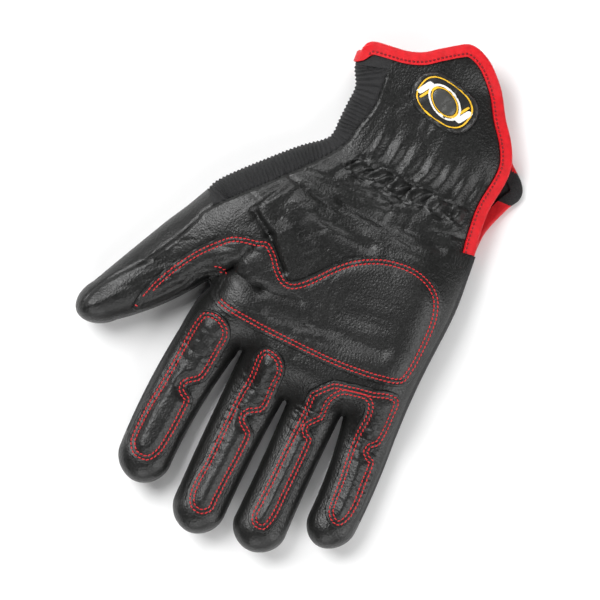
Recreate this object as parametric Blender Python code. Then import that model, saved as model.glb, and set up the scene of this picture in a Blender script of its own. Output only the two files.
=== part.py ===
"""Right-hand leather work glove, lying on its back with the palm up.

Lengths are in metres and +Z is up. The fingers point to -Y, the cuff to +Y, and the thumb lies on the -X
side. The glove is one hollow form, whose side outline, thickness and relief follow the sizes below. A panel
is a region of that form, given a wall, so that neighbouring panels meet along a seam with a small gap.
"""

import math

import bpy
import numpy as np
from mathutils import Matrix, Vector
from mathutils.geometry import delaunay_2d_cdt

# Hand, seen from above. Y is measured from the line of the finger roots while the form is made.
PALM_LENGTH = 0.156
PALM_WIDTH = 0.110
WRIST_WIDTH = 0.081
CUFF_WIDTH = 0.074
CUFF_RISE = 0.0216
SLIT_LENGTH = 0.065
CROTCH_GAP = 0.0013
NOTCH_IN = 0.0030
NOTCH_RISE = 0.0250
NOTCH_GAP = 0.0036
WRIST_SHIFT = 0.0070
MIDDLE_CROTCH_X = -0.0044

# Thickness of the stuffed form, from the surface it lies on, and how wide its edges are rounded.
FINGER_DEPTH = 0.0175
THUMB_DEPTH = 0.0205
PALM_DEPTH = 0.0270
WRIST_DEPTH = 0.0200
CUFF_DEPTH = 0.0210
FINGER_ROUND = 0.0115
THUMB_ROUND = 0.0130
PALM_ROUND = 0.0200
CUFF_ROUND = 0.0150
FINGER_CURL = 0.0050
RIM_SHARE = 0.43

# Walls and clearances
LEATHER = 0.0014
KNIT = 0.0016
PATCH_LEATHER = 0.0011
PATCH_PADDING = 0.0012
TAPE = 0.0009
TAPE_WIDTH = 0.0062
GAP = 0.0003
BADGE_LENGTH = 0.0330
BADGE_HEIGHT = 0.0215
BADGE_THICKNESS = 0.0014
BADGE_RELIEF = 0.0006
TIP_ROUNDNESS = 1.9

# Mesh spacing
SIDE_STEP = 0.0078
KNIT_STEP = 0.0078
TIP_STEP = 0.0050
TOP_STEP = 0.0078
BACK_STEP = 0.0120
EDGE_STEP = 0.0065
CROSS_STEP = 0.0200
BAND_STEP = 0.0062
OUTLINE_STEP = 0.0042

# Each finger: its length, its widths at root, middle and tip, the bow of its axis, its lean at the tip, how
# far its root lies below the line of roots, and the share of its length in its rounded end.
FINGER_COLUMNS = ("name", "length", "root", "middle", "tip", "bow", "lean", "drop", "end")
FINGERS = (
    ("index", 0.0722, 0.0288, 0.0263, 0.0249, -0.0022, -0.0053, -0.0069, 0.175),
    ("middle", 0.0768, 0.0272, 0.0252, 0.0246, -0.0008, -0.0028, 0.0000, 0.165),
    ("ring", 0.0713, 0.0252, 0.0241, 0.0250, 0.0000, -0.0014, 0.0023, 0.165),
    ("little", 0.0584, 0.0258, 0.0236, 0.0228, 0.0016, 0.0008, 0.0009, 0.210),
)
# Where each crotch lies above the line of finger roots.
CROTCHES = (("index_middle", 0.0083), ("middle_ring", -0.0050), ("ring_little", -0.0008))

THUMB_LENGTH = 0.0575
THUMB_ROOT = 0.0330
THUMB_MIDDLE = 0.0276
THUMB_TIP = 0.0206
THUMB_END = 0.24
THUMB_LEAN = 35.8
THUMB_BOW = 0.0015
THUMB_TIP_SHIFT = -0.0008
THUMB_SINK = 0.0012

# Side outline of the wrist and cuff on the thumb side: share of PALM_LENGTH, the width it follows, its share.
THUMB_SIDE_ROWS = (
    (1.000, "cuff", -0.503),
    (0.955, "cuff", -0.493),
    (0.905, "wrist", -0.490),
    (0.855, "wrist", -0.492),
    (0.796, "wrist", -0.498),
    (0.752, "wrist", -0.500),
    (0.723, "wrist", -0.534),
    (0.664, "wrist", -0.672),
)
# The web between wrist and thumb, in shares of the thumb's length and of its half width at the root.
WEB_ROWS = ((-0.57, -1.26), (-0.39, -1.19), (-0.20, -1.08))
# The little-finger side of the palm: share of PALM_LENGTH up to the slit, share of PALM_WIDTH from the notch.
PALM_SIDE_ROWS = ((0.10, 0.978), (0.22, 0.983), (0.40, 1.0), (0.516, 0.992))
SLIT_SIDE = 0.985

# Front edge of the slit: share of SLIT_LENGTH above its bottom, share of WRIST_WIDTH from its middle.
FRONT_SLIT_ROWS = ((0.12, 0.484), (0.33, 0.472), (0.55, 0.495), (0.69, 0.489), (0.83, 0.436), (0.97, 0.353))
# Front mouth: share of CUFF_WIDTH, share of CUFF_RISE above the side corner.
FRONT_MOUTH_ROWS = (
    (0.410, 0.313),
    (0.337, 0.606),
    (0.258, 0.846),
    (0.171, 0.988),
    (0.101, 1.000),
    (0.030, 0.860),
    (-0.050, 0.670),
    (-0.130, 0.470),
    (-0.230, 0.350),
    (-0.346, 0.301),
    (-0.440, 0.250),
    (-0.478, 0.140),
)
BACK_SLIT_ROWS = ((0.19, 0.505), (0.40, 0.565), (0.51, 0.610), (0.60, 0.585), (0.72, 0.478))
BACK_MOUTH_ROWS = ((0.390, -0.05), (0.20, 0.05), (-0.10, 0.08), (-0.40, 0.06))

# Seam between leather and the thumb back, in thumb shares, then between leather and knit, in hand shares.
THUMB_SEAM = (
    (0.948, -0.36),
    (0.863, -0.51),
    (0.770, -0.69),
    (0.652, -0.67),
    (0.516, -0.58),
    (0.381, -0.45),
    (0.288, -0.41),
    (0.129, -0.43),
    (-0.070, -0.47),
    (-0.206, -0.60),
    (-0.365, -0.70),
)
KNIT_SEAM = ((0.613, 0.141), (0.726, 0.106), (0.797, 0.115), (0.869, 0.148), (0.960, 0.198))
CROSS_BAND_AT = -0.40

# Palm patch: first along the thumb and round the notch in thumb shares, then hand shares.
PALM_PATCH_THUMB = (
    (-0.255, 0.14),
    (-0.087, 0.08),
    (0.088, 0.07),
    (0.280, 0.13),
    (0.423, 0.28),
    (0.541, 0.50),
    (0.600, 0.72),
    (0.555, 0.85),
    (0.420, 0.88),
    (0.280, 0.88),
    (0.140, 0.87),
    (0.020, 0.82),
)
PALM_PATCH_HAND = (
    (0.235, 0.050),
    (0.175, 0.045),
    (0.145, 0.110),
    (0.132, 0.251),
    (0.123, 0.456),
    (0.120, 0.656),
    (0.130, 0.832),
    (0.150, 0.935),
    (0.204, 0.962),
    (0.279, 0.965),
    (0.345, 0.960),
    (0.390, 0.947),
    (0.433, 0.924),
    (0.466, 0.876),
    (0.485, 0.805),
    (0.485, 0.729),
    (0.471, 0.648),
    (0.442, 0.567),
    (0.401, 0.494),
    (0.346, 0.423),
    (0.314, 0.374),
    (0.303, 0.335),
    (0.324, 0.298),
    (0.361, 0.265),
    (0.387, 0.222),
    (0.379, 0.170),
    (0.371, 0.111),
    (0.358, 0.062),
)

# Finger patches: share along the finger, share across its half width. Each has a notch on the side of the
# little finger.
INDEX_PATCH = (
    (-0.180, -0.53),
    (-0.129, -0.69),
    (-0.015, -0.76),
    (0.152, -0.72),
    (0.361, -0.72),
    (0.526, -0.79),
    (0.705, -0.82),
    (0.790, -0.77),
    (0.860, -0.43),
    (0.862, 0.20),
    (0.778, 0.58),
    (0.644, 0.69),
    (0.499, 0.70),
    (0.378, 0.62),
    (0.321, 0.24),
    (0.261, 0.57),
    (0.190, 0.66),
    (0.033, 0.60),
    (-0.072, 0.58),
    (-0.150, 0.36),
    (-0.195, -0.10),
)
MIDDLE_PATCH = (
    (-0.200, -0.33),
    (-0.140, -0.54),
    (0.000, -0.50),
    (0.123, -0.56),
    (0.282, -0.57),
    (0.418, -0.56),
    (0.573, -0.57),
    (0.687, -0.64),
    (0.797, -0.60),
    (0.870, -0.33),
    (0.885, 0.20),
    (0.831, 0.59),
    (0.740, 0.63),
    (0.585, 0.67),
    (0.439, 0.70),
    (0.310, 0.64),
    (0.235, 0.18),
    (0.185, 0.58),
    (0.122, 0.70),
    (0.006, 0.63),
    (-0.101, 0.62),
    (-0.172, 0.38),
    (-0.205, -0.01),
)
# The ring and little fingers share one overlay: down the ring finger, down the little finger, and back.
RING_PART = (
    (-0.088, -0.44),
    (0.020, -0.43),
    (0.118, -0.46),
    (0.320, -0.51),
    (0.477, -0.53),
    (0.645, -0.56),
    (0.771, -0.57),
    (0.840, -0.38),
    (0.862, -0.03),
    (0.837, 0.30),
    (0.731, 0.49),
    (0.561, 0.52),
    (0.415, 0.54),
    (0.250, 0.54),
    (0.175, 0.48),
    (0.132, 0.18),
    (0.090, 0.34),
    (0.040, 0.56),
    (-0.030, 0.54),
    (-0.090, 0.56),
    (-0.140, 0.76),
    (-0.158, 1.10),
)
LITTLE_PART = (
    (-0.180, -0.56),
    (-0.140, -0.42),
    (-0.060, -0.41),
    (0.050, -0.50),
    (0.208, -0.58),
    (0.440, -0.56),
    (0.617, -0.54),
    (0.720, -0.46),
    (0.795, -0.11),
    (0.800, 0.34),
    (0.715, 0.63),
    (0.574, 0.72),
    (0.408, 0.68),
    (0.270, 0.68),
    (0.195, 0.62),
    (0.152, 0.32),
    (0.090, 0.60),
    (-0.024, 0.72),
    (-0.162, 0.73),
    (-0.280, 0.72),
    (-0.338, 0.50),
    (-0.342, 0.10),
    (-0.310, -0.40),
    (-0.288, -1.04),
)
RING_RETURN = ((-0.250, 0.90), (-0.225, 0.25), (-0.178, -0.06), (-0.135, -0.28))

# Mounds and hollows of the front: centre and half sizes in hand shares (along, across), and height.
MOUNDS = (
    ("thumb heel", 0.44, 0.26, 0.16, 0.20, 0.0035),
    ("palm hollow", 0.25, 0.50, 0.12, 0.24, -0.0030),
    ("little heel", 0.42, 0.82, 0.15, 0.18, 0.0022),
    ("finger roots", 0.06, 0.50, 0.07, 0.42, 0.0018),
    ("heel break", 0.60, 0.55, 0.05, 0.45, -0.0022),
)
# Creases of the front: both ends in hand shares (along, across), half width, depth.
CREASES = (
    ("notch crease", 0.215, 0.020, 0.274, 0.100, 0.0026, 0.0042),
    ("web fold", 0.274, 0.100, 0.345, 0.155, 0.0022, 0.0022),
    ("root fold", 0.262, 0.095, 0.246, 0.230, 0.0028, 0.0026),
    ("root fold end", 0.246, 0.230, 0.262, 0.400, 0.0032, 0.0014),
    ("patch fold", 0.446, 0.138, 0.400, 0.215, 0.0024, 0.0022),
    ("patch fold low", 0.400, 0.215, 0.320, 0.305, 0.0026, 0.0026),
    ("heel fold high", 0.478, 0.309, 0.482, 0.600, 0.0030, 0.0013),
    ("heel fold low", 0.457, 0.240, 0.429, 0.540, 0.0028, 0.0012),
    ("heel fold wide", 0.567, 0.420, 0.560, 0.850, 0.0034, 0.0014),
    ("palm fold", 0.190, 0.300, 0.220, 0.800, 0.0035, 0.0012),
)
# Gathers of the wrist, in rows of puffs. Each row: share of PALM_LENGTH at both ends, height, half width.
GATHER_ROWS = ((0.692, 0.668, 0.0017, 0.0042), (0.765, 0.742, 0.0008, 0.0075))
GATHER_PUFFS = 6.5
GATHER_FROM = 0.210
GATHER_TO = 0.925

BADGE_ALONG = 0.960
BADGE_ACROSS = 0.103
BADGE_TURN = -14.0

# Sampling and softening lengths.
FINE_STEP = 0.0010
PALM_SIDE_STEP = 0.0020
EDGE_CURVE_STEP = 0.0040
CREASE_STEP = 0.0080
PAD_RAMP = 0.0050

# How dull each finish is.
LEATHER_ROUGHNESS = 0.45
PATCH_ROUGHNESS = 0.5
KNIT_ROUGHNESS = 0.9
TAPE_ROUGHNESS = 0.6
BADGE_ROUGHNESS = 0.35

# Points handled at a time, the smallest number that is divided by, and how close two points count as one.
CHUNK = 1500
TINY = 1e-18
WELD = 1e-7


def ease(x):
    x = np.clip(x, 0.0, 1.0)
    return x * x * (3.0 - 2.0 * x)


def resample(points, step):
    """The same polyline with points evenly spaced, about a step apart."""
    points = np.asarray(points, float)
    run = np.concatenate([[0.0], np.cumsum(np.linalg.norm(np.diff(points, axis=0), axis=1))])
    count = max(1, int(round(run[-1] / step)))
    at = np.linspace(0.0, run[-1], count + 1)
    return np.stack([np.interp(at, run, points[:, 0]), np.interp(at, run, points[:, 1])], axis=1)


def curve_through(points, step, closed=False):
    """A smooth curve through the points, sampled about a step apart."""
    p = np.asarray(points, float)
    if closed:
        ends = np.vstack([p[-1:], p, p[:2]])
    else:
        ends = np.vstack([2 * p[0] - p[1], p, 2 * p[-1] - p[-2]])
    u = np.linspace(0.0, 1.0, 10, endpoint=False)[:, None]
    parts = []
    for a, b, c, d in zip(ends, ends[1:], ends[2:], ends[3:]):
        bend = (2 * a - 5 * b + 4 * c - d) * u**2
        parts.append(0.5 * (2 * b + (c - a) * u + bend + (3 * b - a - 3 * c + d) * u**3))
    parts.append(ends[-2][None, :])
    line = resample(np.vstack(parts), step)
    return line[:-1] if closed else line


def distance_to(points, line, closed=False):
    """Distance from each point to a polyline."""
    a = line if closed else line[:-1]
    b = np.roll(line, -1, axis=0) if closed else line[1:]
    best = np.full(len(points), np.inf)
    run = b - a
    square = np.maximum((run * run).sum(1), TINY)
    for start in range(0, len(points), CHUNK):
        x = points[start : start + CHUNK, :1] - a[:, 0]
        y = points[start : start + CHUNK, 1:2] - a[:, 1]
        share = np.clip((x * run[:, 0] + y * run[:, 1]) / square, 0.0, 1.0)
        x -= share * run[:, 0]
        y -= share * run[:, 1]
        best[start : start + CHUNK] = np.sqrt((x * x + y * y).min(axis=1))
    return best


def inside(points, polygon):
    """True for each point inside the closed polygon."""
    x1, y1 = polygon[:, 0], polygon[:, 1]
    x2, y2 = np.roll(x1, -1), np.roll(y1, -1)
    rise = np.where(y2 == y1, TINY, y2 - y1)
    slope = (x2 - x1) / rise
    within = np.zeros(len(points), bool)
    for start in range(0, len(points), CHUNK):
        x, y = points[start : start + CHUNK, :1], points[start : start + CHUNK, 1:2]
        crosses = ((y1 > y) != (y2 > y)) & (x < x1 + (y - y1) * slope)
        within[start : start + CHUNK] = crosses.sum(axis=1) % 2 == 1
    return within


def normals_of(line, closed=False):
    """Unit normals to the left of a polyline's run."""
    if closed:
        run = np.roll(line, -1, axis=0) - np.roll(line, 1, axis=0)
    else:
        run = np.gradient(line, axis=0)
    run = run / np.linalg.norm(run, axis=1)[:, None]
    return np.stack([-run[:, 1], run[:, 0]], axis=1)


class Digit:
    """A finger or the thumb: points on it are given by a share along it and a share across its half width."""

    def __init__(self, root, way, length, widths, bow, lean, end):
        self.root = np.array(root)
        self.way = np.array(way)
        self.across = np.array([-way[1], way[0]])
        self.length = length
        self.widths = widths
        self.bow = bow
        self.lean = lean
        self.end = 1.0 - end

    def half_width(self, t):
        root, middle, tip = self.widths
        t = np.clip(t, 0.0, self.end)
        m, e = 0.45, self.end
        value = root * (t - m) * (t - e) / (m * e)
        value = value + middle * t * (t - e) / (m * (m - e)) + tip * t * (t - m) / (e * (e - m))
        return 0.5 * value

    def end_share(self, t):
        past = np.clip((t - self.end) / (1.0 - self.end), 0.0, 1.0)
        return (1.0 - past**TIP_ROUNDNESS) ** (1.0 / TIP_ROUNDNESS)

    def point(self, t, a):
        t, a = np.asarray(t, float), np.asarray(a, float)
        inner = np.clip(t, 0.0, 1.0)
        bowed = self.bow * 4.0 * inner * (1.0 - inner) + self.lean * t
        side = a * self.half_width(t) * self.end_share(t) + bowed
        return self.root + self.way * (t * self.length)[..., None] + self.across * side[..., None]

    def shares(self, points):
        """Share along and share across the half width at the root, for points near the digit."""
        away = points - self.root
        return away @ self.way / self.length, away @ self.across / (0.5 * self.widths[0])

    def side(self, a, t_from, t_to):
        """Points down one side, densely."""
        return self.point(np.linspace(t_from, t_to, 24), np.full(24, a))

    def end_curve(self):
        """Points round the tip from the -across side to the +across side."""
        angle = np.linspace(0.0, math.pi, 40)
        power = 2.0 / TIP_ROUNDNESS
        across = -np.sign(np.cos(angle)) * np.abs(np.cos(angle)) ** power * self.half_width(self.end)
        t = self.end + (1.0 - self.end) * np.sin(angle) ** power
        inner = self.bow * 4.0 * t * (1.0 - t) + self.lean * t
        return self.root + self.way * (t * self.length)[:, None] + self.across * (across + inner)[:, None]


def lay_out_digits():
    """Fingers side by side from the middle and ring crotch outwards, and the thumb from the notch."""
    rows = [dict(zip(FINGER_COLUMNS, row)) for row in FINGERS]
    centre = {}
    centre["middle"] = MIDDLE_CROTCH_X - CROTCH_GAP / 2 - rows[1]["root"] / 2
    centre["index"] = centre["middle"] - rows[1]["root"] / 2 - CROTCH_GAP - rows[0]["root"] / 2
    centre["ring"] = MIDDLE_CROTCH_X + CROTCH_GAP / 2 + rows[2]["root"] / 2
    centre["little"] = centre["ring"] + rows[2]["root"] / 2 + CROTCH_GAP + rows[3]["root"] / 2
    digits = {}
    for row in rows:
        root = (centre[row["name"]], -row["drop"])
        widths = (row["root"], row["middle"], row["tip"])
        length = row["length"]
        digits[row["name"]] = Digit(root, (0.0, -1.0), length, widths, row["bow"], row["lean"], row["end"])
    index_side = digits["index"].point(0.0, -1.0)
    notch = index_side + np.array([NOTCH_IN, NOTCH_RISE])
    angle = math.radians(THUMB_LEAN)
    way = np.array([-math.sin(angle), -math.cos(angle)])
    across = np.array([-way[1], way[0]])
    root = notch - np.array([NOTCH_GAP / 2, 0.0]) - across * (THUMB_ROOT / 2 - THUMB_SINK)
    widths = (THUMB_ROOT, THUMB_MIDDLE, THUMB_TIP)
    digits["thumb"] = Digit(root, way, THUMB_LENGTH, widths, THUMB_BOW, THUMB_TIP_SHIFT, THUMB_END)
    return digits, notch


DIGITS, NOTCH = lay_out_digits()
THUMB = DIGITS["thumb"]
FINGER_NAMES = [row[0] for row in FINGERS]
SLIT_Y = PALM_LENGTH - SLIT_LENGTH
WIDTHS = {"cuff": (0.0, CUFF_WIDTH), "wrist": (WRIST_SHIFT, WRIST_WIDTH)}
SLIT_POINT = np.array([NOTCH[0] + SLIT_SIDE * PALM_WIDTH, SLIT_Y])


def thumb_side_rows():
    points = []
    for along, name, share in THUMB_SIDE_ROWS:
        middle, width = WIDTHS[name]
        points.append((middle + share * width, along * PALM_LENGTH))
    return points


def tip_back_share(digit):
    return digit.end - 0.10


def side_outline():
    """The side outline from the cuff's thumb corner round the digits to the slit, in tagged stretches."""
    web = [tuple(THUMB.point(t, a)) for t, a in WEB_ROWS]
    start = [tuple(THUMB.point(t, -1.0)) for t in (0.0, 0.14)]
    upper = curve_through(thumb_side_rows() + web + start, FINE_STEP)
    cross = THUMB.point(CROSS_BAND_AT, -1.19)
    cross_at = int(np.argmin(np.linalg.norm(upper - cross, axis=1)))
    run = np.concatenate([[0.0], np.cumsum(np.linalg.norm(np.diff(upper, axis=0), axis=1))])
    band_at = int(np.argmin(np.abs(run - TAPE_WIDTH)))
    stretches = [
        ("cuff_band", resample(upper[: band_at + 1], BAND_STEP)),
        ("knit_side", resample(upper[band_at : cross_at + 1], KNIT_STEP)),
    ]
    outer = np.vstack([upper[cross_at:], THUMB.side(-1.0, 0.16, THUMB.end)])
    tip = THUMB.end_curve()
    seam_at = int(0.36 * len(tip))
    stretches.append(("thumb_outer", resample(np.vstack([outer, tip[1 : seam_at + 1]]), SIDE_STEP * 0.9)))
    stretches.append(("thumb_tip", resample(tip[seam_at:], TIP_STEP)))
    notch_side = THUMB.point(0.02, 1.0)
    stretches.append(("thumb_inner", resample(THUMB.side(1.0, THUMB.end, 0.02), SIDE_STEP)))
    index = DIGITS["index"]
    down = np.array([notch_side + (NOTCH_GAP, 0.0), index.point(-0.22, -0.93), index.point(-0.1, -0.985)])
    turn = np.array([notch_side, notch_side + (0.35 * NOTCH_GAP, 0.6 * NOTCH_GAP), down[0]])
    stretches.append(("notch", curve_through(turn, NOTCH_GAP * 0.7)))
    for number, name in enumerate(FINGER_NAMES):
        digit = DIGITS[name]
        line = tip_back_share(digit)
        if number == 0:
            left = curve_through(np.vstack([down, index.point(0.0, -1.0)[None]]), PALM_SIDE_STEP)
            left = np.vstack([left, digit.side(-1.0, 0.02, line)])
            stretches.append((name + "_outer", resample(left, SIDE_STEP)))
        else:
            top = (digit.root[1] - CROTCHES[number - 1][1]) / digit.length
            stretches.append((name + "_left", resample(digit.side(-1.0, top, line), SIDE_STEP)))
        near, far = digit.side(-1.0, line, digit.end), digit.side(1.0, digit.end, line)
        tip = np.vstack([near[:-1], digit.end_curve(), far[1:]])
        stretches.append((name + "_tip", resample(tip, TIP_STEP)))
        if number < 3:
            top = (digit.root[1] - CROTCHES[number][1]) / digit.length
            right = digit.side(1.0, line, top)
            stretches.append((name + "_right", resample(right, SIDE_STEP)))
            other = DIGITS[FINGER_NAMES[number + 1]]
            far = other.point((other.root[1] - CROTCHES[number][1]) / other.length, -1.0)
            near = right[-1]
            middle, half = 0.5 * (near + far), 0.5 * (far - near)
            rise = np.array([0.0, np.linalg.norm(half)])
            arc = [middle - half * math.cos(u) + rise * math.sin(u) for u in np.linspace(0.0, math.pi, 4)]
            stretches.append(("crotch", np.array(arc)))
    little = DIGITS["little"]
    palm = [tuple(little.point(0.0, 1.0))]
    palm += [(NOTCH[0] + share * PALM_WIDTH, along * PALM_LENGTH) for along, share in PALM_SIDE_ROWS]
    palm.append(tuple(SLIT_POINT))
    right = np.vstack([little.side(1.0, tip_back_share(little), 0.06), curve_through(palm, PALM_SIDE_STEP)])
    stretches.append(("little_outer", resample(right, SIDE_STEP)))
    return stretches


def joined(stretches):
    points, tags, starts = [], [], {}
    for tag, line in stretches:
        starts.setdefault(tag, len(points))
        points += list(line[:-1])
        tags += [tag] * (len(line) - 1)
    points.append(stretches[-1][1][-1])
    return np.array(points), tags, starts


SIDE, SIDE_TAGS, SIDE_STARTS = joined(side_outline())
SIDE_IN = normals_of(SIDE)


def mouth_row(share, rise):
    return (share * CUFF_WIDTH, PALM_LENGTH + rise * CUFF_RISE)


def slit_row(share, across):
    return (WRIST_SHIFT + across * WRIST_WIDTH, SLIT_Y + share * SLIT_LENGTH)


FRONT_EDGE_ROWS = [slit_row(*row) for row in FRONT_SLIT_ROWS] + [mouth_row(*row) for row in FRONT_MOUTH_ROWS]
BACK_EDGE_ROWS = [slit_row(*row) for row in BACK_SLIT_ROWS] + [mouth_row(*row) for row in BACK_MOUTH_ROWS]


def hand_frame():
    """Left and right limits of the hand against y, for features given in hand shares."""
    index, little = DIGITS["index"], DIGITS["little"]
    left = [(0.0, index.point(0.0, -1.0)[0]), (NOTCH[1], NOTCH[0])]
    left.append((0.52 * PALM_LENGTH, THUMB.point(*WEB_ROWS[0])[0]))
    left += [(y, x) for x, y in reversed(thumb_side_rows())]
    right = [(0.0, little.point(0.0, 1.0)[0])]
    right += [(along * PALM_LENGTH, NOTCH[0] + share * PALM_WIDTH) for along, share in PALM_SIDE_ROWS]
    right += [(SLIT_Y, SLIT_POINT[0])]
    right += [(y, x) for x, y in (slit_row(*row) for row in FRONT_SLIT_ROWS)]
    return np.array(left), np.array(right)


HAND_LEFT, HAND_RIGHT = hand_frame()


def hand_point(along, across):
    """A point of the palm or wrist from its share of PALM_LENGTH and its share between the two sides."""
    y = along * PALM_LENGTH
    left = np.interp(y, HAND_LEFT[:, 0], HAND_LEFT[:, 1])
    right = np.interp(y, HAND_RIGHT[:, 0], HAND_RIGHT[:, 1])
    return np.array([left + across * (right - left), y])


def hand_across(points):
    left = np.interp(points[:, 1], HAND_LEFT[:, 0], HAND_LEFT[:, 1])
    right = np.interp(points[:, 1], HAND_RIGHT[:, 0], HAND_RIGHT[:, 1])
    return (points[:, 0] - left) / (right - left)


def blends(points):
    """How far each point belongs to the fingers, to the thumb and to the cuff."""
    roots = np.array([DIGITS[name].root for name in FINGER_NAMES])
    line = np.interp(points[:, 0], roots[:, 0], roots[:, 1])
    finger = ease((line + 0.14 * PALM_LENGTH - points[:, 1]) / (0.2 * PALM_LENGTH))
    along, across = THUMB.shares(points)
    thumb = ease((along + 0.45) / 0.7) * ease((1.75 - across) / 0.7)
    cuff = ease((points[:, 1] / PALM_LENGTH - 0.45) / 0.35)
    return finger, thumb, cuff


def fields(points):
    """Thickness, edge rounding and lift of the form at each point."""
    finger, thumb, cuff = blends(points)
    y = points[:, 1] / PALM_LENGTH
    wrist = WRIST_DEPTH + (CUFF_DEPTH - WRIST_DEPTH) * ease((y - 0.78) / 0.2)
    depth = PALM_DEPTH + (wrist - PALM_DEPTH) * cuff
    depth = depth + (FINGER_DEPTH - depth) * finger
    depth = depth + (THUMB_DEPTH - depth) * thumb
    edge = PALM_ROUND + (CUFF_ROUND - PALM_ROUND) * cuff
    edge = edge + (FINGER_ROUND - edge) * finger
    edge = edge + (THUMB_ROUND - edge) * thumb
    longest = DIGITS["middle"].length
    lift = FINGER_CURL * np.clip(-points[:, 1] / longest, 0.0, 1.2) ** 2
    along, _ = THUMB.shares(points)
    lift = np.maximum(lift * (1.0 - thumb), 0.6 * FINGER_CURL * thumb * np.clip(along, 0.0, 1.0) ** 2)
    lift = lift + (GAP + TAPE) * ease(2.0 - distance_to(points, BACK_EDGE) / (2.0 * TAPE_WIDTH))
    return depth, edge, lift


SLIT_EDGE = curve_through([tuple(SLIT_POINT)] + FRONT_EDGE_ROWS[:7], EDGE_CURVE_STEP)
BACK_EDGE = curve_through([tuple(SLIT_POINT)] + BACK_EDGE_ROWS + [tuple(SIDE[0])], EDGE_CURVE_STEP)


def relief(points):
    """Mounds, creases and gathers of the front."""
    along = points[:, 1] / PALM_LENGTH
    across = hand_across(points)
    height = np.zeros(len(points))
    for _, at, over, half_along, half_across, rise in MOUNDS:
        height += rise * np.exp(-(((along - at) / half_along) ** 2) - ((across - over) / half_across) ** 2)
    for _, at, over, to, end, half, depth in CREASES:
        line = np.array([hand_point(at, over), hand_point(to, end)])
        height -= depth * np.exp(-((distance_to(points, line) / half) ** 2))
    share = (across - GATHER_FROM) / (GATHER_TO - GATHER_FROM)
    window = ease(share / 0.08) * ease((1.0 - share) / 0.08)
    for number, (start, end, rise, half) in enumerate(GATHER_ROWS):
        near = np.exp(-(((along - start - (end - start) * share) * PALM_LENGTH / half) ** 2))
        wave = np.cos(2.0 * math.pi * (GATHER_PUFFS * share + 0.5 * number))
        height += rise * near * window * wave
    return height


def shell(points, from_side, top):
    """Heights of the form's outer surface, from each point's distance to the side outline."""
    depth, edge, lift = fields(points)
    inner = np.clip(1.0 - from_side / edge, 0.0, 1.0)
    share = np.sqrt(1.0 - inner * inner)
    rim = RIM_SHARE * depth
    if not top:
        return lift + rim * (1.0 - share)
    near = np.clip(distance_to(points, SLIT_EDGE) / (0.4 * WRIST_WIDTH), 0.0, 1.0)
    droop = 0.25 + 0.75 * np.sin(0.5 * math.pi * near)
    return lift + rim + (depth - rim) * share * droop + relief(points) * share**2


# How far round the edge the rows of points lie, in degrees: on the rim, then beyond it on front and back.
RIM_TURNS = (-24.0, 0.0, 24.0)
FACE_TURNS = (44.0,)


def inset(turn):
    """The side outline moved inwards to where the rounded edge has turned so far, and how far that is."""
    _, edge, _ = fields(SIDE)
    away = edge * (1.0 - math.cos(math.radians(turn)))
    return SIDE + SIDE_IN * away[:, None], away


class Form:
    """All outer surface points and triangles, with the name of the region that each triangle belongs to."""

    def __init__(self):
        self.points = []
        self.faces = []
        self.regions = []

    def add_points(self, points):
        start = sum(len(p) for p in self.points)
        self.points.append(np.asarray(points, float))
        return np.arange(start, start + len(points))

    def add_faces(self, faces, regions):
        start = len(self.regions)
        self.faces.append(np.asarray(faces, int))
        self.regions += list(regions)
        return slice(start, len(self.regions))

    def finish(self):
        self.points = np.vstack(self.points)
        self.faces = np.vstack(self.faces)
        self.regions = np.array(self.regions)
        corners = self.points[self.faces]
        flat = np.cross(corners[:, 1] - corners[:, 0], corners[:, 2] - corners[:, 0])
        flat /= np.linalg.norm(flat, axis=1)[:, None]
        self.normals = np.zeros_like(self.points)
        for k in range(3):
            one = corners[:, (k + 1) % 3] - corners[:, k]
            two = corners[:, (k + 2) % 3] - corners[:, k]
            cosine = (one * two).sum(1) / (np.linalg.norm(one, axis=1) * np.linalg.norm(two, axis=1))
            angle = np.arccos(np.clip(cosine, -1.0, 1.0))
            np.add.at(self.normals, self.faces[:, k], flat * angle[:, None])
        self.normals /= np.maximum(np.linalg.norm(self.normals, axis=1), TINY)[:, None]


def hex_grid(low, high, step):
    rows = []
    y = low[1]
    odd = False
    while y < high[1]:
        x = np.arange(low[0] + (0.5 * step if odd else 0.0), high[0], step)
        rows.append(np.stack([x, np.full(len(x), y)], axis=1))
        y += step * math.sqrt(0.75)
        odd = not odd
    return np.vstack(rows)


def triangulate(boundary, lines, loops, free, step):
    """Triangles inside the boundary that keep the given lines and loops as edges.

    Returns the points, the triangles, and for each boundary point its place among the points.
    """
    points, edges = [], []

    def add(line, closed):
        start = len(points)
        points.extend(Vector(p) for p in line)
        count = len(line)
        for i in range(count if closed else count - 1):
            edges.append((start + i, start + (i + 1) % count))

    add(boundary, True)
    for line in lines:
        add(line, False)
    for loop in loops:
        add(loop, True)
    away = distance_to(free, boundary, closed=True)
    keep = inside(free, boundary) & (away > 0.35 * step)
    free = free[keep]
    for line in lines:
        free = free[distance_to(free, line) > 0.32 * step]
    for loop in loops:
        free = free[distance_to(free, loop, closed=True) > 0.32 * step]
    points.extend(Vector(p) for p in free)
    verts, _, faces, origins, _, _ = delaunay_2d_cdt(points, edges, [], 0, WELD)
    place = {}
    for out, sources in enumerate(origins):
        for source in sources:
            place[source] = out
    verts = np.array([tuple(v) for v in verts])
    faces = np.array([tuple(f) for f in faces])
    middle = verts[faces].mean(axis=1)
    faces = faces[inside(middle, boundary)]
    a, b, c = (verts[faces[:, k]] for k in range(3))
    turned = (b - a)[:, 0] * (c - a)[:, 1] - (b - a)[:, 1] * (c - a)[:, 0] < 0
    faces[turned] = faces[turned][:, ::-1]
    return verts, faces, [place[i] for i in range(len(boundary))]


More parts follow.
